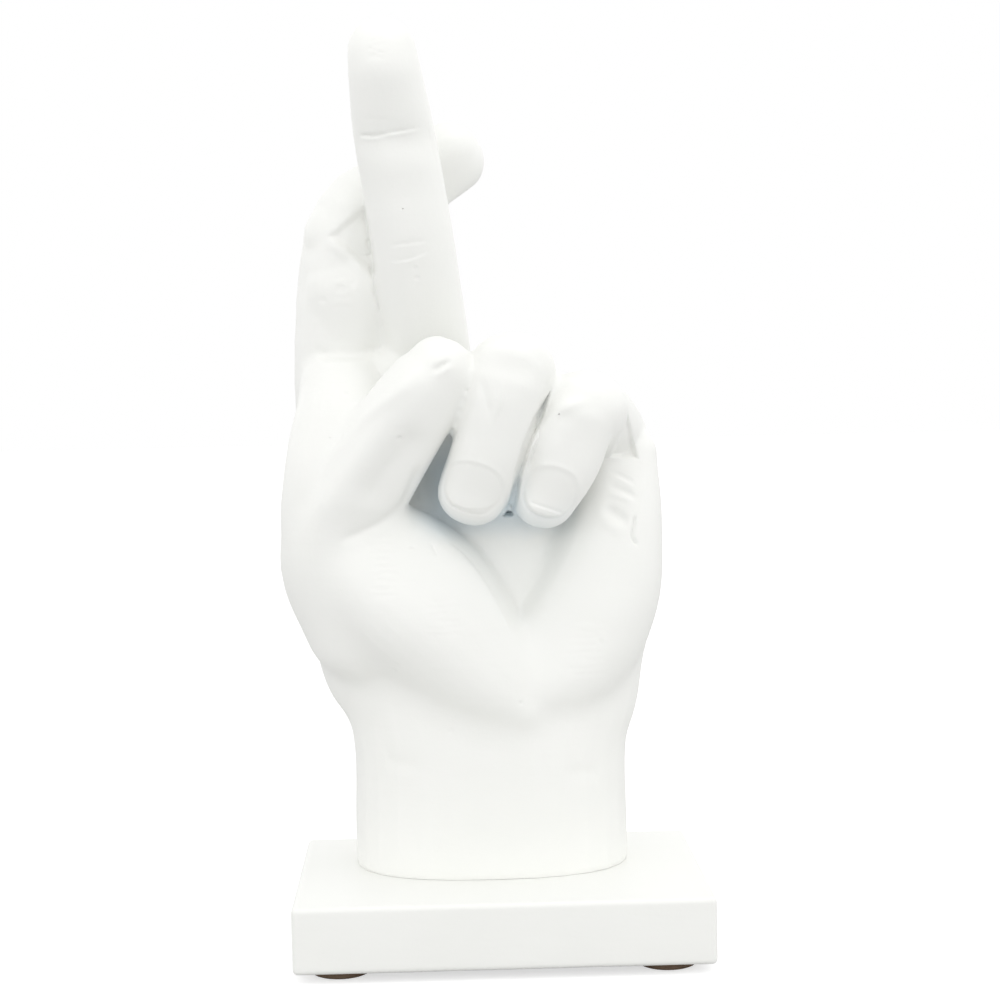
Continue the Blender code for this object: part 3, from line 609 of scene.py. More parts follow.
def palm(shape):
    half = WRIST_WIDTH / 2
    x, y = WRIST_PLACE
    foot = HEEL_LEVEL - WRIST_LENGTH
    wrist = (half, WRIST_FRONT, WRIST_BACK)
    rows = [
        (x, y, foot - FOOT_EXTRA, *wrist),
        (x, y, foot + WRIST_LENGTH / 3, *wrist),
        (x, y, HEEL_LEVEL, *wrist),
        *PALM_ROWS,
    ]
    add_loft(shape, rows, (ACROSS, ACROSS), square=2.5)


def heel_and_web(shape):
    """The ball of the thumb, the outer heel, and the slope between the thumb and the index finger."""
    add_loft(shape, THENAR_ROWS, (THENAR_ACROSS, THENAR_ACROSS), square=2.7)
    add_loft(shape, HYPOTHENAR_ROWS, (HYPOTHENAR_ACROSS, ACROSS), square=2.5)
    add_loft(shape, WEB_ROWS, (ACROSS, ACROSS))
    add_loft(shape, FLOOR_ROWS, (ACROSS, ACROSS))
    add_loft(shape, ROOT_WEB_ROWS, (ACROSS, ACROSS))


def ball(shape, centre, radius):
    """A ball that fills out a bent joint."""
    x, y, z = centre
    rows = [(x + k * radius / 10, y, z, radius, radius, radius) for k in (-1, 0, 1)]
    add_loft(shape, rows, (UPWARD, UPWARD))


def crossed_fingers(shape):
    middle = finger_stations(MIDDLE_JOINTS, MIDDLE_WIDTHS)
    add_loft(shape, middle, (MIDDLE_ACROSS, MIDDLE_ACROSS), square=2.3)
    index_sides = (ACROSS, ACROSS, INDEX_BEND_ACROSS, INDEX_TIP_ACROSS, INDEX_TIP_ACROSS)
    add_loft(shape, finger_stations(INDEX_JOINTS, INDEX_WIDTHS), index_sides, square=2.8)
    ball(shape, INDEX_JOINTS[1], INDEX_WIDTHS[1] / 2)
    add_loft(shape, INDEX_PAD_ROWS, (ACROSS, ACROSS), square=2.4)


def folded_fingers(shape):
    add_loft(shape, finger_stations(RING_JOINTS, RING_WIDTHS), (ACROSS, RING_ACROSS), square=2.4)
    add_loft(shape, finger_stations(PINKY_JOINTS, PINKY_WIDTHS), (ACROSS, PINKY_ACROSS), square=2.4)
    ball(shape, RING_JOINTS[1], RING_WIDTHS[1] / 2)
    ball(shape, PINKY_JOINTS[1], PINKY_WIDTHS[1] / 2)
    back = np.array((0, PRESSED_BACK, 0))
    spots = [(np.array(ring) + pinky) / 2 + back for ring, pinky in zip(RING_JOINTS[1:], PINKY_JOINTS[1:])]
    pressed = [(*spot, PRESSED_HALF, PRESSED_HALF, PRESSED_HALF) for spot in spots]
    add_loft(shape, pressed, (ACROSS, ACROSS))


def thumb(shape):
    rows = finger_stations(THUMB_JOINTS, THUMB_WIDTHS, rooted=False)
    add_loft(shape, rows, (THUMB_ROOT_ACROSS, THUMB_TIP_ACROSS, THUMB_TIP_ACROSS), square=2.9)


def knuckles(shape):
    joints = (INDEX_JOINTS[0], MIDDLE_JOINTS[0], RING_JOINTS[0], PINKY_JOINTS[0])
    widths = (INDEX_WIDTHS[0], MIDDLE_WIDTHS[0], RING_WIDTHS[0], PINKY_WIDTHS[0])
    for (x, y, z), width, set_back in zip(joints, widths, KNUCKLE_SET_BACKS):
        ball(shape, (x, y + set_back, z), KNUCKLE_SHARE * width / 2)


# Skin


class Skin:
    """The fused masses held as arrays, to be smoothed and worked with strokes."""

    def __init__(self, mesh):
        self.mesh = mesh
        self.points = np.empty(len(mesh.vertices) * 3)
        mesh.vertices.foreach_get("co", self.points)
        self.points = self.points.reshape(-1, 3)
        ends = np.empty(len(mesh.edges) * 2, np.int64)
        mesh.edges.foreach_get("vertices", ends)
        self.ends = ends.reshape(-1, 2)
        mesh.calc_loop_triangles()
        corners = np.empty(len(mesh.loop_triangles) * 3, np.int64)
        mesh.loop_triangles.foreach_get("vertices", corners)
        self.corners = corners.reshape(-1, 3)
        self.degree = np.bincount(self.ends.ravel(), minlength=len(self.points))[:, None]
        self.refresh()

    def refresh(self):
        """Works out the normals again, after a group of strokes."""
        a, b, c = (self.points[self.corners[:, k]] for k in range(3))
        faces = np.cross(b - a, c - a)
        sums = np.zeros_like(self.points)
        for axis in range(3):
            for corner in range(3):
                sums[:, axis] += np.bincount(self.corners[:, corner], faces[:, axis], len(self.points))
        self.normals = sums / np.maximum(np.linalg.norm(sums, axis=1, keepdims=True), 1e-12)

    def pull(self):
        """From each point to the mean of its neighbours."""
        sums = np.zeros_like(self.points)
        for axis in range(3):
            for near, far in ((0, 1), (1, 0)):
                values = self.points[self.ends[:, far], axis]
                sums[:, axis] += np.bincount(self.ends[:, near], values, len(self.points))
        return sums / self.degree - self.points

    def relax(self, passes, weight=1.0):
        """Evens the skin out and keeps its volume."""
        for _ in range(passes):
            self.points += 0.5 * weight * self.pull()
            self.points -= 0.52 * weight * self.pull()
        self.refresh()

    def fill(self, reach, weight):
        """Fills hollow creases out to about the reach, and leaves what stands out."""
        for count in range(max(1, round((reach / SKIN_CELL) ** 2))):
            pull = self.pull()
            if count % 4 == 0:
                self.refresh()
            rise = np.sum(pull * self.normals, axis=1, keepdims=True)
            self.points += 0.5 * weight * (pull - self.normals * np.minimum(rise, 0))
        self.refresh()

    def soften(self, passes, weight):
        """Plain smoothing where the weight is, which also rounds what stands out."""
        for _ in range(passes):
            self.points += 0.5 * weight * self.pull()
        self.refresh()

    def facing(self, chosen, direction, low=0.1, high=0.45):
        """1 where the skin looks along the direction, falling to 0 where it looks away."""
        look = self.normals[chosen] @ unit(direction)
        return np.clip((look - low) / (high - low), 0, 1)

    def along(self, path, out, margin, reach):
        """Points near a line, with their signed distance across it, their place on it and their facing."""
        path = smooth_path(path, 5)
        low = path.min(axis=0) - margin - reach * np.abs(out)
        high = path.max(axis=0) + margin + reach * np.abs(out)
        chosen = np.flatnonzero(np.all((self.points > low) & (self.points < high), axis=1))
        flat_path = path - np.outer(path @ out, out)
        spots = self.points[chosen]
        levels = spots @ out
        flat = spots - np.outer(levels, out)
        best = np.full(len(chosen), np.inf)
        signed = np.zeros(len(chosen))
        place = np.zeros(len(chosen))
        lengths = np.linalg.norm(np.diff(flat_path, axis=0), axis=1)
        starts = np.concatenate([[0], np.cumsum(lengths)])
        for i, (start, end) in enumerate(zip(flat_path, flat_path[1:])):
            run = end - start
            offset = flat - start
            share = np.clip(offset @ run / (run @ run), 0, 1)
            away = np.linalg.norm(offset - np.outer(share, run), axis=1)
            level = path[i] @ out + share * ((path[i + 1] - path[i]) @ out)
            away[np.abs(levels - level) > reach] = np.inf
            nearer = away < best
            side = np.sign(offset @ np.cross(out, run))
            best = np.where(nearer, away, best)
            signed = np.where(nearer, away * side, signed)
            place = np.where(nearer, (starts[i] + share * lengths[i]) / starts[-1], place)
        near = best < margin
        chosen = chosen[near]
        return chosen, signed[near], place[near], self.facing(chosen, out)

    def groove(self, path, breadth, depth, direction=FRONT, reach=0.007, taper=0.25, lip=0.0):
        """Presses a line into the skin, thinning out at its ends.

        The lip raises a thin ridge on the right of the line's run as seen from outside. A negative
        depth raises the line itself.
        """
        out = unit(direction)
        chosen, signed, place, facing = self.along(path, out, breadth * 5, reach)
        ends = np.clip(np.minimum(place, 1 - place) / taper, 0, 1)
        ends = ends * ends * (3 - 2 * ends)
        amount = -depth * np.exp(-((signed / breadth) ** 2))
        amount += lip * np.exp(-(((signed + 1.9 * breadth) / breadth) ** 2))
        self.points[chosen] += self.normals[chosen] * (amount * ends * facing)[:, None]

    def swell(self, centre, spread, height, direction=FRONT):
        """Raises a soft mound, or with a negative height presses a hollow."""
        offset = (self.points - np.asarray(centre)) / (np.ones(3) * spread)
        chosen = np.flatnonzero(np.sum(offset**2, axis=1) < 6.0)
        amount = height * np.exp(-np.sum(offset[chosen] ** 2, axis=1)) * self.facing(chosen, direction)
        self.points[chosen] += self.normals[chosen] * amount[:, None]

    def press(self, edge, depth, wall, front):
        """Pushes what lies inside a closed edge back, as far forward as the front, with a wall this wide."""
        ring = np.asarray(edge, float)
        flat = self.points[:, [0, 2]]
        box = np.all((flat > ring.min(axis=0)) & (flat < ring.max(axis=0)), axis=1)
        chosen = np.flatnonzero(box & (self.points[:, 1] > -front))
        spots = flat[chosen]
        inside = np.zeros(len(chosen), bool)
        gap = np.full(len(chosen), np.inf)
        for start, end in zip(ring, np.roll(ring, -1, axis=0)):
            run = end - start
            share = np.clip((spots - start) @ run / (run @ run), 0, 1)
            gap = np.minimum(gap, np.linalg.norm(spots - start - np.outer(share, run), axis=1))
            rises = (start[1] > spots[:, 1]) != (end[1] > spots[:, 1])
            slope = run[0] / (run[1] if run[1] else 1e-9)
            inside ^= rises & (spots[:, 0] < start[0] + (spots[:, 1] - start[1]) * slope)
        amount = np.where(inside, np.clip(gap / wall, 0, 1), 0)
        amount = amount * amount * (3 - 2 * amount) * self.facing(chosen, FRONT, -0.2, 0.2)
        self.points[chosen, 1] += depth * amount

    def nail(self, centre, along, out, length, width, edge):
        """Sets a nail: a pitched plate with a rim of skin, proud of the fingertip at its free edge."""
        out = unit(out)
        along = unit(np.asarray(along) - out * (np.asarray(along) @ out))
        across = np.cross(out, along)
        offset = self.points - np.asarray(centre)
        chosen = np.flatnonzero(np.sum(offset**2, axis=1) < (1.1 * max(length, width)) ** 2)
        offset = offset[chosen]
        a = offset @ along / (length / 2)
        w = offset @ across / (width / 2)
        power = NAIL_SQUARENESS
        rim = (np.abs(a) ** power + np.abs(w) ** power) ** (1 / power)
        gap = (rim - 1) * min(length, width) / 2
        close = self.facing(chosen, out, 0.0, 0.3) * (np.abs(offset @ out) < width * 0.6)
        tip = np.clip((a - 0.50) / 0.25, 0, 1)
        moat = MOAT_DEPTH + MOAT_DEEPER_AT_TIP * tip
        moat = moat * np.exp(-(((gap - MOAT_PLACE) / MOAT_BREADTH) ** 2))
        fold = FOLD_HEIGHT * np.exp(-(((gap - FOLD_PLACE) / FOLD_BREADTH) ** 2)) * (1 - tip)
        flare = np.clip((a + 0.5) / 1.3, 0, 1)
        plate = edge * np.clip(-gap / PLATE_RIM, 0, 1) * (1.6 * flare * flare - 0.35)
        self.points[chosen] += out * ((plate + fold - moat) * close)[:, None]

    def store(self):
        self.mesh.vertices.foreach_set("co", self.points.ravel())
        self.mesh.update()


def evaluated_mesh(item):
    graph = bpy.context.evaluated_depsgraph_get()
    return bpy.data.meshes.new_from_object(item.evaluated_get(graph))


def changed_mesh(mesh, kind, **settings):
    """The mesh after one modifier."""
    item = bpy.data.objects.new("worked", mesh)
    bpy.context.scene.collection.objects.link(item)
    change = item.modifiers.new("change", kind)
    for name, value in settings.items():
        setattr(change, name, value)
    result = evaluated_mesh(item)
    bpy.data.objects.remove(item)
    return result


def cast_skin():
    """The masses fused into one closed skin."""
    shape = bmesh.new()
    for build in (palm, heel_and_web, crossed_fingers, folded_fingers, thumb, knuckles):
        build(shape)
    mesh = bpy.data.meshes.new("masses")
    shape.to_mesh(mesh)
    shape.free()
    return Skin(changed_mesh(mesh, "REMESH", mode="VOXEL", voxel_size=SKIN_CELL))


def between(value, low, high):
    """0 at low, 1 at high, and clipped past both."""
    return np.clip((value - low) / (high - low), 0, 1)


def share_inside(points, fades):
    """1 well inside all the fades, and 0 outside any of them."""
    share = np.ones(len(points))
    for axis, low, high in fades:
        share *= between(points[:, axis], low, high)
    return share


def blend_masses(skin):
    """Runs the masses of the palm, the heel and the back of the hand into each other."""
    skin.relax(3)
    points = skin.points
    heel = share_inside(points, HEEL_FADES)
    back = share_inside(points, BACK_FADES)
    web = share_inside(points, WEB_FADES)
    skin.fill(SEAM_FILL, np.maximum.reduce([heel, back, web])[:, None])
    skin.fill(BACK_FILL, back[:, None])
    thumb_ball = share_inside(points, THUMB_BALL_FADES)
    skin.fill(THUMB_BALL_FILL, thumb_ball[:, None])
    crevice = share_inside(points, CREVICE_SIDES) * share_inside(points, CREVICE_ENDS)
    skin.fill(CREVICE_FILL, crevice[:, None])
    valley = share_inside(points, VALLEY_SIDES) * share_inside(points, VALLEY_ENDS)
    skin.fill(VALLEY_FILL, valley[:, None])
    edge = share_inside(points, OUTER_EDGE_FADES)
    skin.soften(OUTER_EDGE_PASSES, edge[:, None])
    skin.fill(OVERALL_FILL, 1.0)
    skin.relax(3)


def pads_and_hollows(skin):
    """Pads, hollows and planes that the lofts leave out."""
    for place, spread, height in SWELLS:
        skin.swell(place, spread, height)
    skin.refresh()
    skin.press(HOLLOW_EDGE, HOLLOW_DEPTH, HOLLOW_WALL, HOLLOW_FRONT)
    skin.press(HOLLOW_HEART, HEART_DEPTH, HEART_WALL, HOLLOW_FRONT)
    skin.press(WEDGE_EDGE, WEDGE_DEPTH, WEDGE_WALL, WEDGE_FRONT)
    skin.press(NOTCH_EDGE, NOTCH_DEPTH, NOTCH_WALL, HOLLOW_FRONT)
    skin.refresh()
    for path, breadth, depth, out in BROAD_STROKES:
        skin.groove(path, breadth, depth, out, reach=BROAD_REACH)
    skin.press(CREVICE_EDGE, CREVICE_DEPTH, CREVICE_WALL, CREVICE_FRONT)
    skin.refresh()


def tendons(skin):
    """The cords that run from the back of the wrist to the knuckles."""
    for x, z in TENDON_TOPS:
        cord = ((0.35 * x, 0.034, 0.055), (x, 0.033, z))
        skin.groove(cord, TENDON_BREADTH, TENDON_DEPTH, BACK, reach=BACK_REACH)
    breadth, depth = KNUCKLE_VALLEY_BREADTH, KNUCKLE_VALLEY_DEPTH
    for x, z in KNUCKLE_VALLEYS:
        valley = ((x * 0.9, 0.033, z - 0.016), (x, 0.031, z + 0.003))
        skin.groove(valley, breadth, depth, BACK, reach=BACK_REACH, taper=0.4)
    skin.refresh()


def fine_creases(skin):
    for breadth, depth, lip, taper, path in FINE_CREASES:
        skin.groove(path, breadth, depth, taper=taper, lip=lip)
    skin.refresh()


def wrinkles(skin):
    """Rows of fine, slightly wavy lines."""
    for low, high, count, left, right, depth, front in WRINKLES:
        for k in range(count):
            level = low + (high - low) * k / (count - 1)
            sway = WRINKLE_SWAY * math.sin(2.4 * k)
            inset = WRINKLE_INSET * (right - left) * (0.5 + 0.5 * math.sin(4.1 * k))
            xs = np.linspace(left + inset, right - inset / 2, 5)
            path = [(x, front, level + sway * math.sin(2.1 * i + k)) for i, x in enumerate(xs)]
            skin.groove(path, WRINKLE_BREADTH, depth, taper=0.35)
    skin.refresh()


def pinholes(skin):
    for place, radius, depth in PINHOLES:
        skin.swell(place, (radius, 0.01, radius), -depth)
    skin.refresh()


def nails(skin):
    for nail in NAILS:
        skin.nail(*nail)
    skin.refresh()
    for path in NAIL_EDGES:
        skin.groove(path, NAIL_EDGE_BREADTH, NAIL_EDGE_DEPTH, taper=0.15, lip=NAIL_EDGE_LIP)
    skin.refresh()


def uneven(skin):
    """The slight unevenness of a hand-finished casting."""
    places = [Vector(point) for point in skin.points]
    rise = [noise.noise(place * 70) + 0.5 * noise.noise(place * 190) for place in places]
    skin.points += skin.normals * (UNEVEN_HEIGHT * np.array(rise))[:, None]
    skin.refresh()


def foot_round(skin):
    """Draws the wrist in a little where it meets the plinth."""
    centre = np.array(WRIST_PLACE)
    foot = HEEL_LEVEL - WRIST_LENGTH
    near = np.clip(1 - (skin.points[:, 2] - foot) / FOOT_ROUND_HEIGHT, 0, 1)
    inward = centre - skin.points[:, :2]
    inward /= np.maximum(np.linalg.norm(inward, axis=1, keepdims=True), 1e-9)
    skin.points[:, :2] += inward * (FOOT_ROUND_DEPTH * near**2)[:, None]


def cut_foot(mesh, height):
    """Cuts the mesh flat at this height."""
    shape = bmesh.new()
    shape.from_mesh(mesh)
    everything = shape.verts[:] + shape.edges[:] + shape.faces[:]
    place = (0, 0, height)
    bmesh.ops.bisect_plane(shape, geom=everything, plane_co=place, plane_no=UPWARD, clear_inner=True)
    shape.to_mesh(mesh)
    shape.free()


def close_foot(mesh):
    """Closes the open rim at the foot with one flat face."""
    shape = bmesh.new()
    shape.from_mesh(mesh)
    for face in shape.faces:
        face.smooth = True
    rim = [edge for edge in shape.edges if edge.is_boundary]
    for edge in rim:
        edge.smooth = False
    foot = bmesh.ops.edgeloop_fill(shape, edges=rim)["faces"]
    for face in foot:
        face.smooth = False
    shape.to_mesh(mesh)
    shape.free()


def painted_shade_share(points):
    """1 deep in the hollow round the folded fingertips, where shade is painted in as a cooler, darker white,
    and 0 outside it.
    """
    share = share_inside(points, PAINTED_SHADE_DEPTHS) * share_inside(points, PAINTED_SHADE_SIDES)
    share *= np.maximum(share_inside(points, UNDER_TIPS), share_inside(points, BEHIND_TIPS))
    return share * share_inside(points, PAINTED_SHADE_ENDS)


def hand(finish):
    rough = cast_skin()
    blend_masses(rough)
    rough.store()
    skin = Skin(changed_mesh(rough.mesh, "SUBSURF", levels=1, render_levels=1))
    pads_and_hollows(skin)
    tendons(skin)
    fine_creases(skin)
    nails(skin)
    uneven(skin)
    wrinkles(skin)
    pinholes(skin)
    foot_round(skin)
    # Painted shade: a cooler, darker white round the folded fingertips, kept on the skin's points
    painted_shade = painted_shade_share(skin.points)
    foot = PLINTH_TOP + TOUCH_GAP
    skin.points[:, 2] += foot + WRIST_LENGTH - HEEL_LEVEL
    skin.store()
    mark = skin.mesh.attributes.new(PAINTED_SHADE_MARK, "FLOAT", "POINT")
    mark.data.foreach_set("value", painted_shade)
    cut_foot(skin.mesh, foot)
    mesh = changed_mesh(skin.mesh, "DECIMATE", ratio=SKIN_TRIANGLES / len(skin.corners))
    close_foot(mesh)
    mesh.name = "hand_skin"
    item = bpy.data.objects.new("hand_skin", mesh)
    bpy.context.scene.collection.objects.link(item)
    mesh.materials.clear()
    mesh.materials.append(finish)
    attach(item, "root")
    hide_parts("hand")


# Materials


def new_finish(name):
    finish = bpy.data.materials.new(name)
    finish.use_nodes = True
    tree = finish.node_tree
    return finish, tree, tree.nodes["Principled BSDF"]


def add_node(tree, kind, **settings):
    node = tree.nodes.new(kind)
    for name, value in settings.items():
        if name in node.inputs:
            node.inputs[name].default_value = value
        else:
            setattr(node, name, value)
    return node


def colour_ramp(tree, value, stops):
    """A ramp through these stops, each a position and a colour."""
    ramp = tree.nodes.new("ShaderNodeValToRGB")
    elements = ramp.color_ramp.elements
    elements[0].position, elements[0].color = stops[0]
    elements[1].position, elements[1].color = stops[-1]
    for position, colour in stops[1:-1]:
        elements.new(position).color = colour
    tree.links.new(value, ramp.inputs["Fac"])
    return ramp.outputs["Color"]


def value_range(tree, value, low, high, start=0.0, end=1.0):
    span = tree.nodes.new("ShaderNodeMapRange")
    span.inputs["From Min"].default_value = start
    span.inputs["From Max"].default_value = end
    span.inputs["To Min"].default_value = low
    span.inputs["To Max"].default_value = high
    tree.links.new(value, span.inputs["Value"])
    return span.outputs["Result"]


def worked_value(tree, operation, first, second):
    """One step of arithmetic on node outputs or plain numbers."""
    step = add_node(tree, "ShaderNodeMath", operation=operation)
    for socket, value in zip(step.inputs, (first, second)):
        if isinstance(value, float):
            socket.default_value = value
        else:
            tree.links.new(value, socket)
    return step.outputs[0]


def noise_value(tree, place, scale, detail, stretch=(1, 1, 1)):
    """Noise over the place, squeezed along each axis by the stretch."""
    mapping = tree.nodes.new("ShaderNodeMapping")
    mapping.inputs["Scale"].default_value = stretch
    tree.links.new(place, mapping.inputs["Vector"])
    cloud = add_node(tree, "ShaderNodeTexNoise", Scale=scale, Detail=detail)
    tree.links.new(mapping.outputs["Vector"], cloud.inputs["Vector"])
    return cloud.outputs["Fac"]


def painted_resin(name, pit_scale):
    """Satin white paint on cast resin: faint clouds, painted shade as a cooler, darker white round the
    folded fingertips, brush marks, grain and pits.
    """
    finish, tree, shader = new_finish(name)
    link = tree.links.new
    place = tree.nodes.new("ShaderNodeTexCoord").outputs["Object"]
    cloud = noise_value(tree, place, 40.0, 5.0)
    paint = colour_ramp(tree, cloud, PAINT_SHADES)
    # Painted shade: the cooler, darker white mixed into the paint round the folded fingertips
    painted_shade = tree.nodes.new("ShaderNodeAttribute")
    painted_shade.attribute_name = PAINTED_SHADE_MARK
    blend = add_node(tree, "ShaderNodeMix", data_type="RGBA")
    link(painted_shade.outputs["Fac"], blend.inputs["Factor"])
    link(paint, blend.inputs["A"])
    blend.inputs["B"].default_value = RECESS_PAINTED_SHADE
    pits = add_node(tree, "ShaderNodeTexVoronoi", Scale=pit_scale)
    link(place, pits.inputs["Vector"])
    pit = value_range(tree, pits.outputs["Distance"], 1.0, 0.0, *PIT_REACH)
    dirt = add_node(tree, "ShaderNodeMix", data_type="RGBA")
    link(pit, dirt.inputs["Factor"])
    link(blend.outputs["Result"], dirt.inputs["A"])
    dirt.inputs["B"].default_value = DIRT
    link(dirt.outputs["Result"], shader.inputs["Base Color"])
    link(value_range(tree, cloud, 0.34, 0.50), shader.inputs["Roughness"])
    brush = noise_value(tree, place, 60.0, 4.0, (1.0, 1.0, 5.0))
    strokes = add_node(tree, "ShaderNodeBump", Strength=0.12, Distance=0.0006)
    link(brush, strokes.inputs["Height"])
    grain = add_node(tree, "ShaderNodeBump", Strength=0.10, Distance=0.0003)
    link(noise_value(tree, place, 900.0, 3.0), grain.inputs["Height"])
    link(strokes.outputs["Normal"], grain.inputs["Normal"])
    dent = add_node(tree, "ShaderNodeBump", Strength=0.8, Distance=0.0005, invert=True)
    link(pit, dent.inputs["Height"])
    link(grain.outputs["Normal"], dent.inputs["Normal"])
    link(dent.outputs["Normal"], shader.inputs["Normal"])
    return finish


def black_pad(name):
    """Black felted pad, brown with dried glue towards its upper rim."""
    finish, tree, shader = new_finish(name)
    link = tree.links.new
    place = tree.nodes.new("ShaderNodeTexCoord").outputs["Object"]
    split = tree.nodes.new("ShaderNodeSeparateXYZ")
    link(place, split.inputs[0])
    height = value_range(tree, split.outputs["Z"], 0.0, 1.0, -PAD_THICKNESS / 2, PAD_THICKNESS / 2)
    fray = noise_value(tree, place, 420.0, 4.0)
    level = add_node(tree, "ShaderNodeMath", operation="MULTIPLY_ADD")
    link(fray, level.inputs[0])
    level.inputs[1].default_value = 0.6
    link(height, level.inputs[2])
    felt = colour_ramp(tree, level.outputs[0], ((0.55, PAD_BLACK), (1.0, PAD_BROWN)))
    link(felt, shader.inputs["Base Color"])
    link(value_range(tree, fray, 0.70, 0.95), shader.inputs["Roughness"])
    pile = add_node(tree, "ShaderNodeBump", Strength=0.5, Distance=0.0003)
    link(noise_value(tree, place, 1500.0, 3.0), pile.inputs["Height"])
    link(pile.outputs["Normal"], shader.inputs["Normal"])
    return finish


# Plinth, pads and stage


def plinth(finish):
    """The block, with rounded edges that run slightly uneven as painted ones do."""
    shape = bmesh.new()
    bmesh.ops.create_cube(shape, size=1.0)
    bmesh.ops.scale(shape, vec=(PLINTH_WIDTH, PLINTH_DEPTH, PLINTH_HEIGHT), verts=shape.verts)
    rounding = {"offset": SOFT_EDGE_RADIUS, "segments": SOFT_EDGE_SEGMENTS, "profile": 0.5}
    bmesh.ops.bevel(shape, geom=shape.edges[:], affect="EDGES", **rounding)
    long_edges = [edge for edge in shape.edges if edge.calc_length() > PLINTH_HEIGHT / 2]
    bmesh.ops.subdivide_edges(shape, edges=long_edges, cuts=LONG_EDGE_CUTS, use_grid_fill=True)
    bmesh.ops.recalc_face_normals(shape, faces=shape.faces)
    for vert in shape.verts:
        inner = min(abs(vert.co.z) / (PLINTH_HEIGHT / 2), 1.0)
        sway = noise.noise(vert.co * 45) + 0.5 * noise.noise(vert.co * 130)
        vert.co -= vert.normal * (EDGE_SWAY * abs(sway) * (1.2 - 0.4 * inner))
    bmesh.ops.translate(shape, vec=(0, 0, PLINTH_TOP - PLINTH_HEIGHT / 2), verts=shape.verts)
    mesh = bpy.data.meshes.new("plinth_block")
    for face in shape.faces:
        face.smooth = True
    shape.to_mesh(mesh)
    shape.free()
    item = bpy.data.objects.new("plinth_block", mesh)
    bpy.context.scene.collection.objects.link(item)
    mesh.materials.append(finish)
    even = item.modifiers.new("even", "WEIGHTED_NORMAL")
    even.keep_sharp = True
    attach(item, "root")
    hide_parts("plinth")


def stage():
    """The white table, which glows a little for the camera alone."""
    shape = bmesh.new()
    bmesh.ops.create_grid(shape, x_segments=1, y_segments=1, size=TABLE_HALF)
    mesh = bpy.data.meshes.new("floor")
    shape.to_mesh(mesh)
    shape.free()
    floor = bpy.data.objects.new("floor", mesh)
    bpy.context.scene.collection.objects.link(floor)
    finish, tree, shader = new_finish("floor_white")
    link = tree.links.new
    shader.inputs["Base Color"].default_value = (TABLE_GREY, TABLE_GREY, TABLE_GREY, 1)
    shader.inputs["Roughness"].default_value = 0.9
    shader.inputs["Specular IOR Level"].default_value = 0.0
    rays = tree.nodes.new("ShaderNodeLightPath")
    shader.inputs["Emission Color"].default_value = (1, 1, 1, 1)
    seen = add_node(tree, "ShaderNodeMath", operation="MULTIPLY")
    seen.inputs[1].default_value = TABLE_GLOW
    link(rays.outputs["Is Camera Ray"], seen.inputs[0])
    link(seen.outputs[0], shader.inputs["Emission Strength"])
    mesh.materials.append(finish)


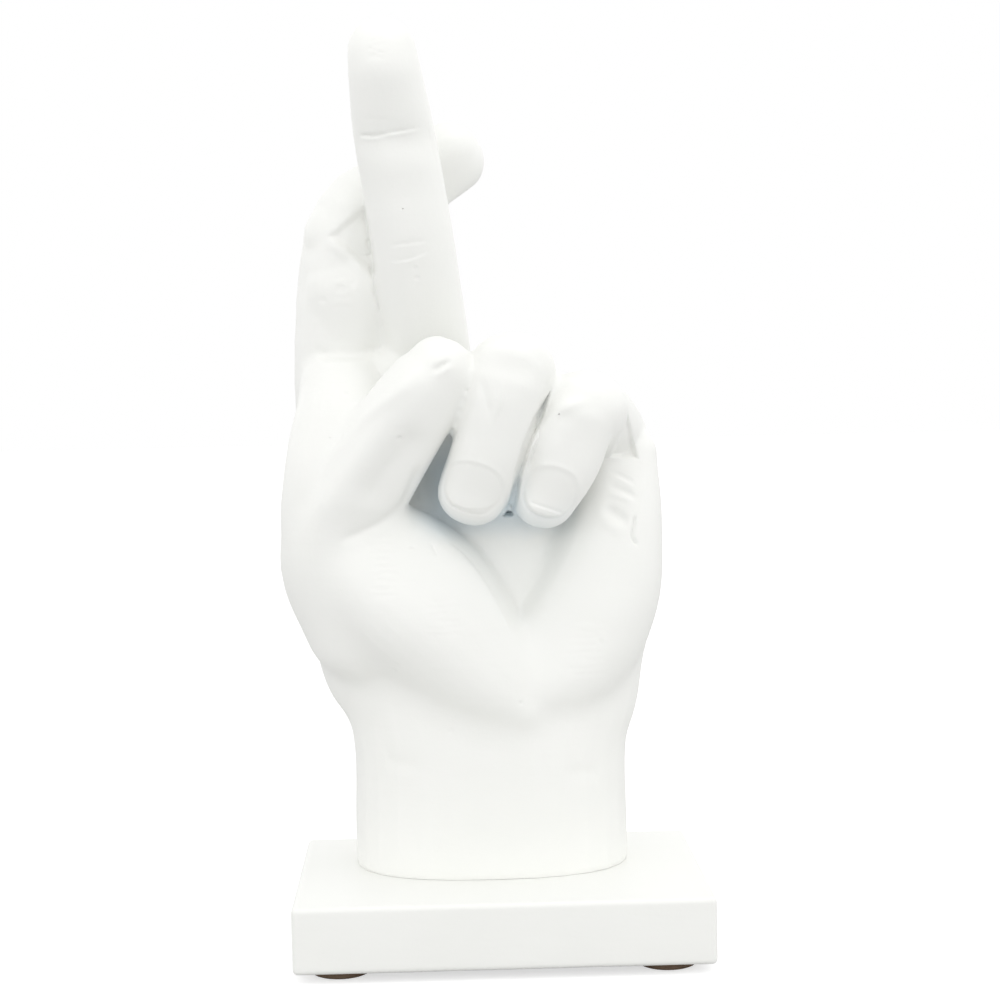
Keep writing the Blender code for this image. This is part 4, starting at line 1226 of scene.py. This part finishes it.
def world():
    """A white room, brighter at its sides and dimmer towards the floor, seen as plain white."""
    sky = bpy.data.worlds.new("white_room")
    bpy.context.scene.world = sky
    sky.use_nodes = True
    tree = sky.node_tree
    link = tree.links.new
    lit = tree.nodes["Background"]
    place = tree.nodes.new("ShaderNodeTexCoord").outputs["Generated"]
    split = tree.nodes.new("ShaderNodeSeparateXYZ")
    link(place, split.inputs[0])
    height = value_range(tree, split.outputs["Z"], 0.0, 1.0, -1.0, 1.0)
    ramp = tree.nodes.new("ShaderNodeFloatCurve")
    curve = ramp.mapping.curves[0]
    curve.points[0].location = ROOM_LEVELS[0]
    curve.points[1].location = ROOM_LEVELS[-1]
    for point in ROOM_LEVELS[1:-1]:
        curve.points.new(*point)
    for point in curve.points:
        point.handle_type = "VECTOR"
    ramp.mapping.update()
    link(height, ramp.inputs["Value"])
    bands = worked_value(tree, "MULTIPLY", ramp.outputs["Value"], ROOM_BRIGHTEST)
    ahead = worked_value(tree, "MULTIPLY", split.outputs["Y"], -ROOM_FRONT)
    ahead = worked_value(tree, "MAXIMUM", ahead, 0.0)
    aside = worked_value(tree, "MULTIPLY", split.outputs["X"], split.outputs["X"])
    aside = worked_value(tree, "MULTIPLY", aside, ROOM_SIDES)
    level = worked_value(tree, "ADD", bands, ahead)
    link(worked_value(tree, "ADD", level, aside), lit.inputs["Strength"])
    lit.inputs["Color"].default_value = (1, 1, 1, 1)
    seen = tree.nodes.new("ShaderNodeBackground")
    seen.inputs["Color"].default_value = (1, 1, 1, 1)
    rays = tree.nodes.new("ShaderNodeLightPath")
    mix = tree.nodes.new("ShaderNodeMixShader")
    link(rays.outputs["Is Camera Ray"], mix.inputs[0])
    link(lit.outputs[0], mix.inputs[1])
    link(seen.outputs[0], mix.inputs[2])
    link(mix.outputs[0], tree.nodes["World Output"].inputs["Surface"])


def lamp(name, place, aim, size, power):
    light = bpy.data.lights.new(name, "AREA")
    light.shape = "DISK"
    light.size = size
    light.energy = power
    item = bpy.data.objects.new(name, light)
    bpy.context.scene.collection.objects.link(item)
    item.location = place
    item.rotation_euler = (Vector(aim) - Vector(place)).to_track_quat("-Z", "Y").to_euler()


def camera():
    yaw, down, roll = (math.radians(a) for a in (CAMERA_YAW, CAMERA_DOWN, CAMERA_ROLL))
    ahead = Vector((math.sin(yaw) * math.cos(down), math.cos(yaw) * math.cos(down), -math.sin(down)))
    right = Vector((math.cos(yaw), -math.sin(yaw), 0))
    up = right.cross(ahead)
    side = right * math.cos(roll) + up * math.sin(roll)
    top = up * math.cos(roll) - right * math.sin(roll)
    lens = bpy.data.cameras.new("camera")
    lens.lens = CAMERA_LENS
    lens.sensor_width = SENSOR
    item = bpy.data.objects.new("camera", lens)
    bpy.context.scene.collection.objects.link(item)
    turn = Matrix((side, top, -ahead)).transposed().to_4x4()
    item.matrix_world = Matrix.Translation(CAMERA_PLACE) @ turn
    bpy.context.scene.camera = item


def main():
    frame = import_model()
    resin = painted_resin("cast_white_paint", HAND_PIT_SCALE)
    block = painted_resin("plinth_white_paint", PLINTH_PIT_SCALE)
    pad = black_pad("pad_black")
    hand(resin)
    plinth(block)
    for name, node in frame["nodes"].items():
        if name.startswith("pad"):
            node.data.materials.clear()
            node.data.materials.append(pad)
    stage()
    world()
    lamp("overhead", LAMP_PLACE, LAMP_AIM, LAMP_SIZE, LAMP_POWER)
    camera()
    bpy.context.scene.view_settings.view_transform = "Standard"


main()
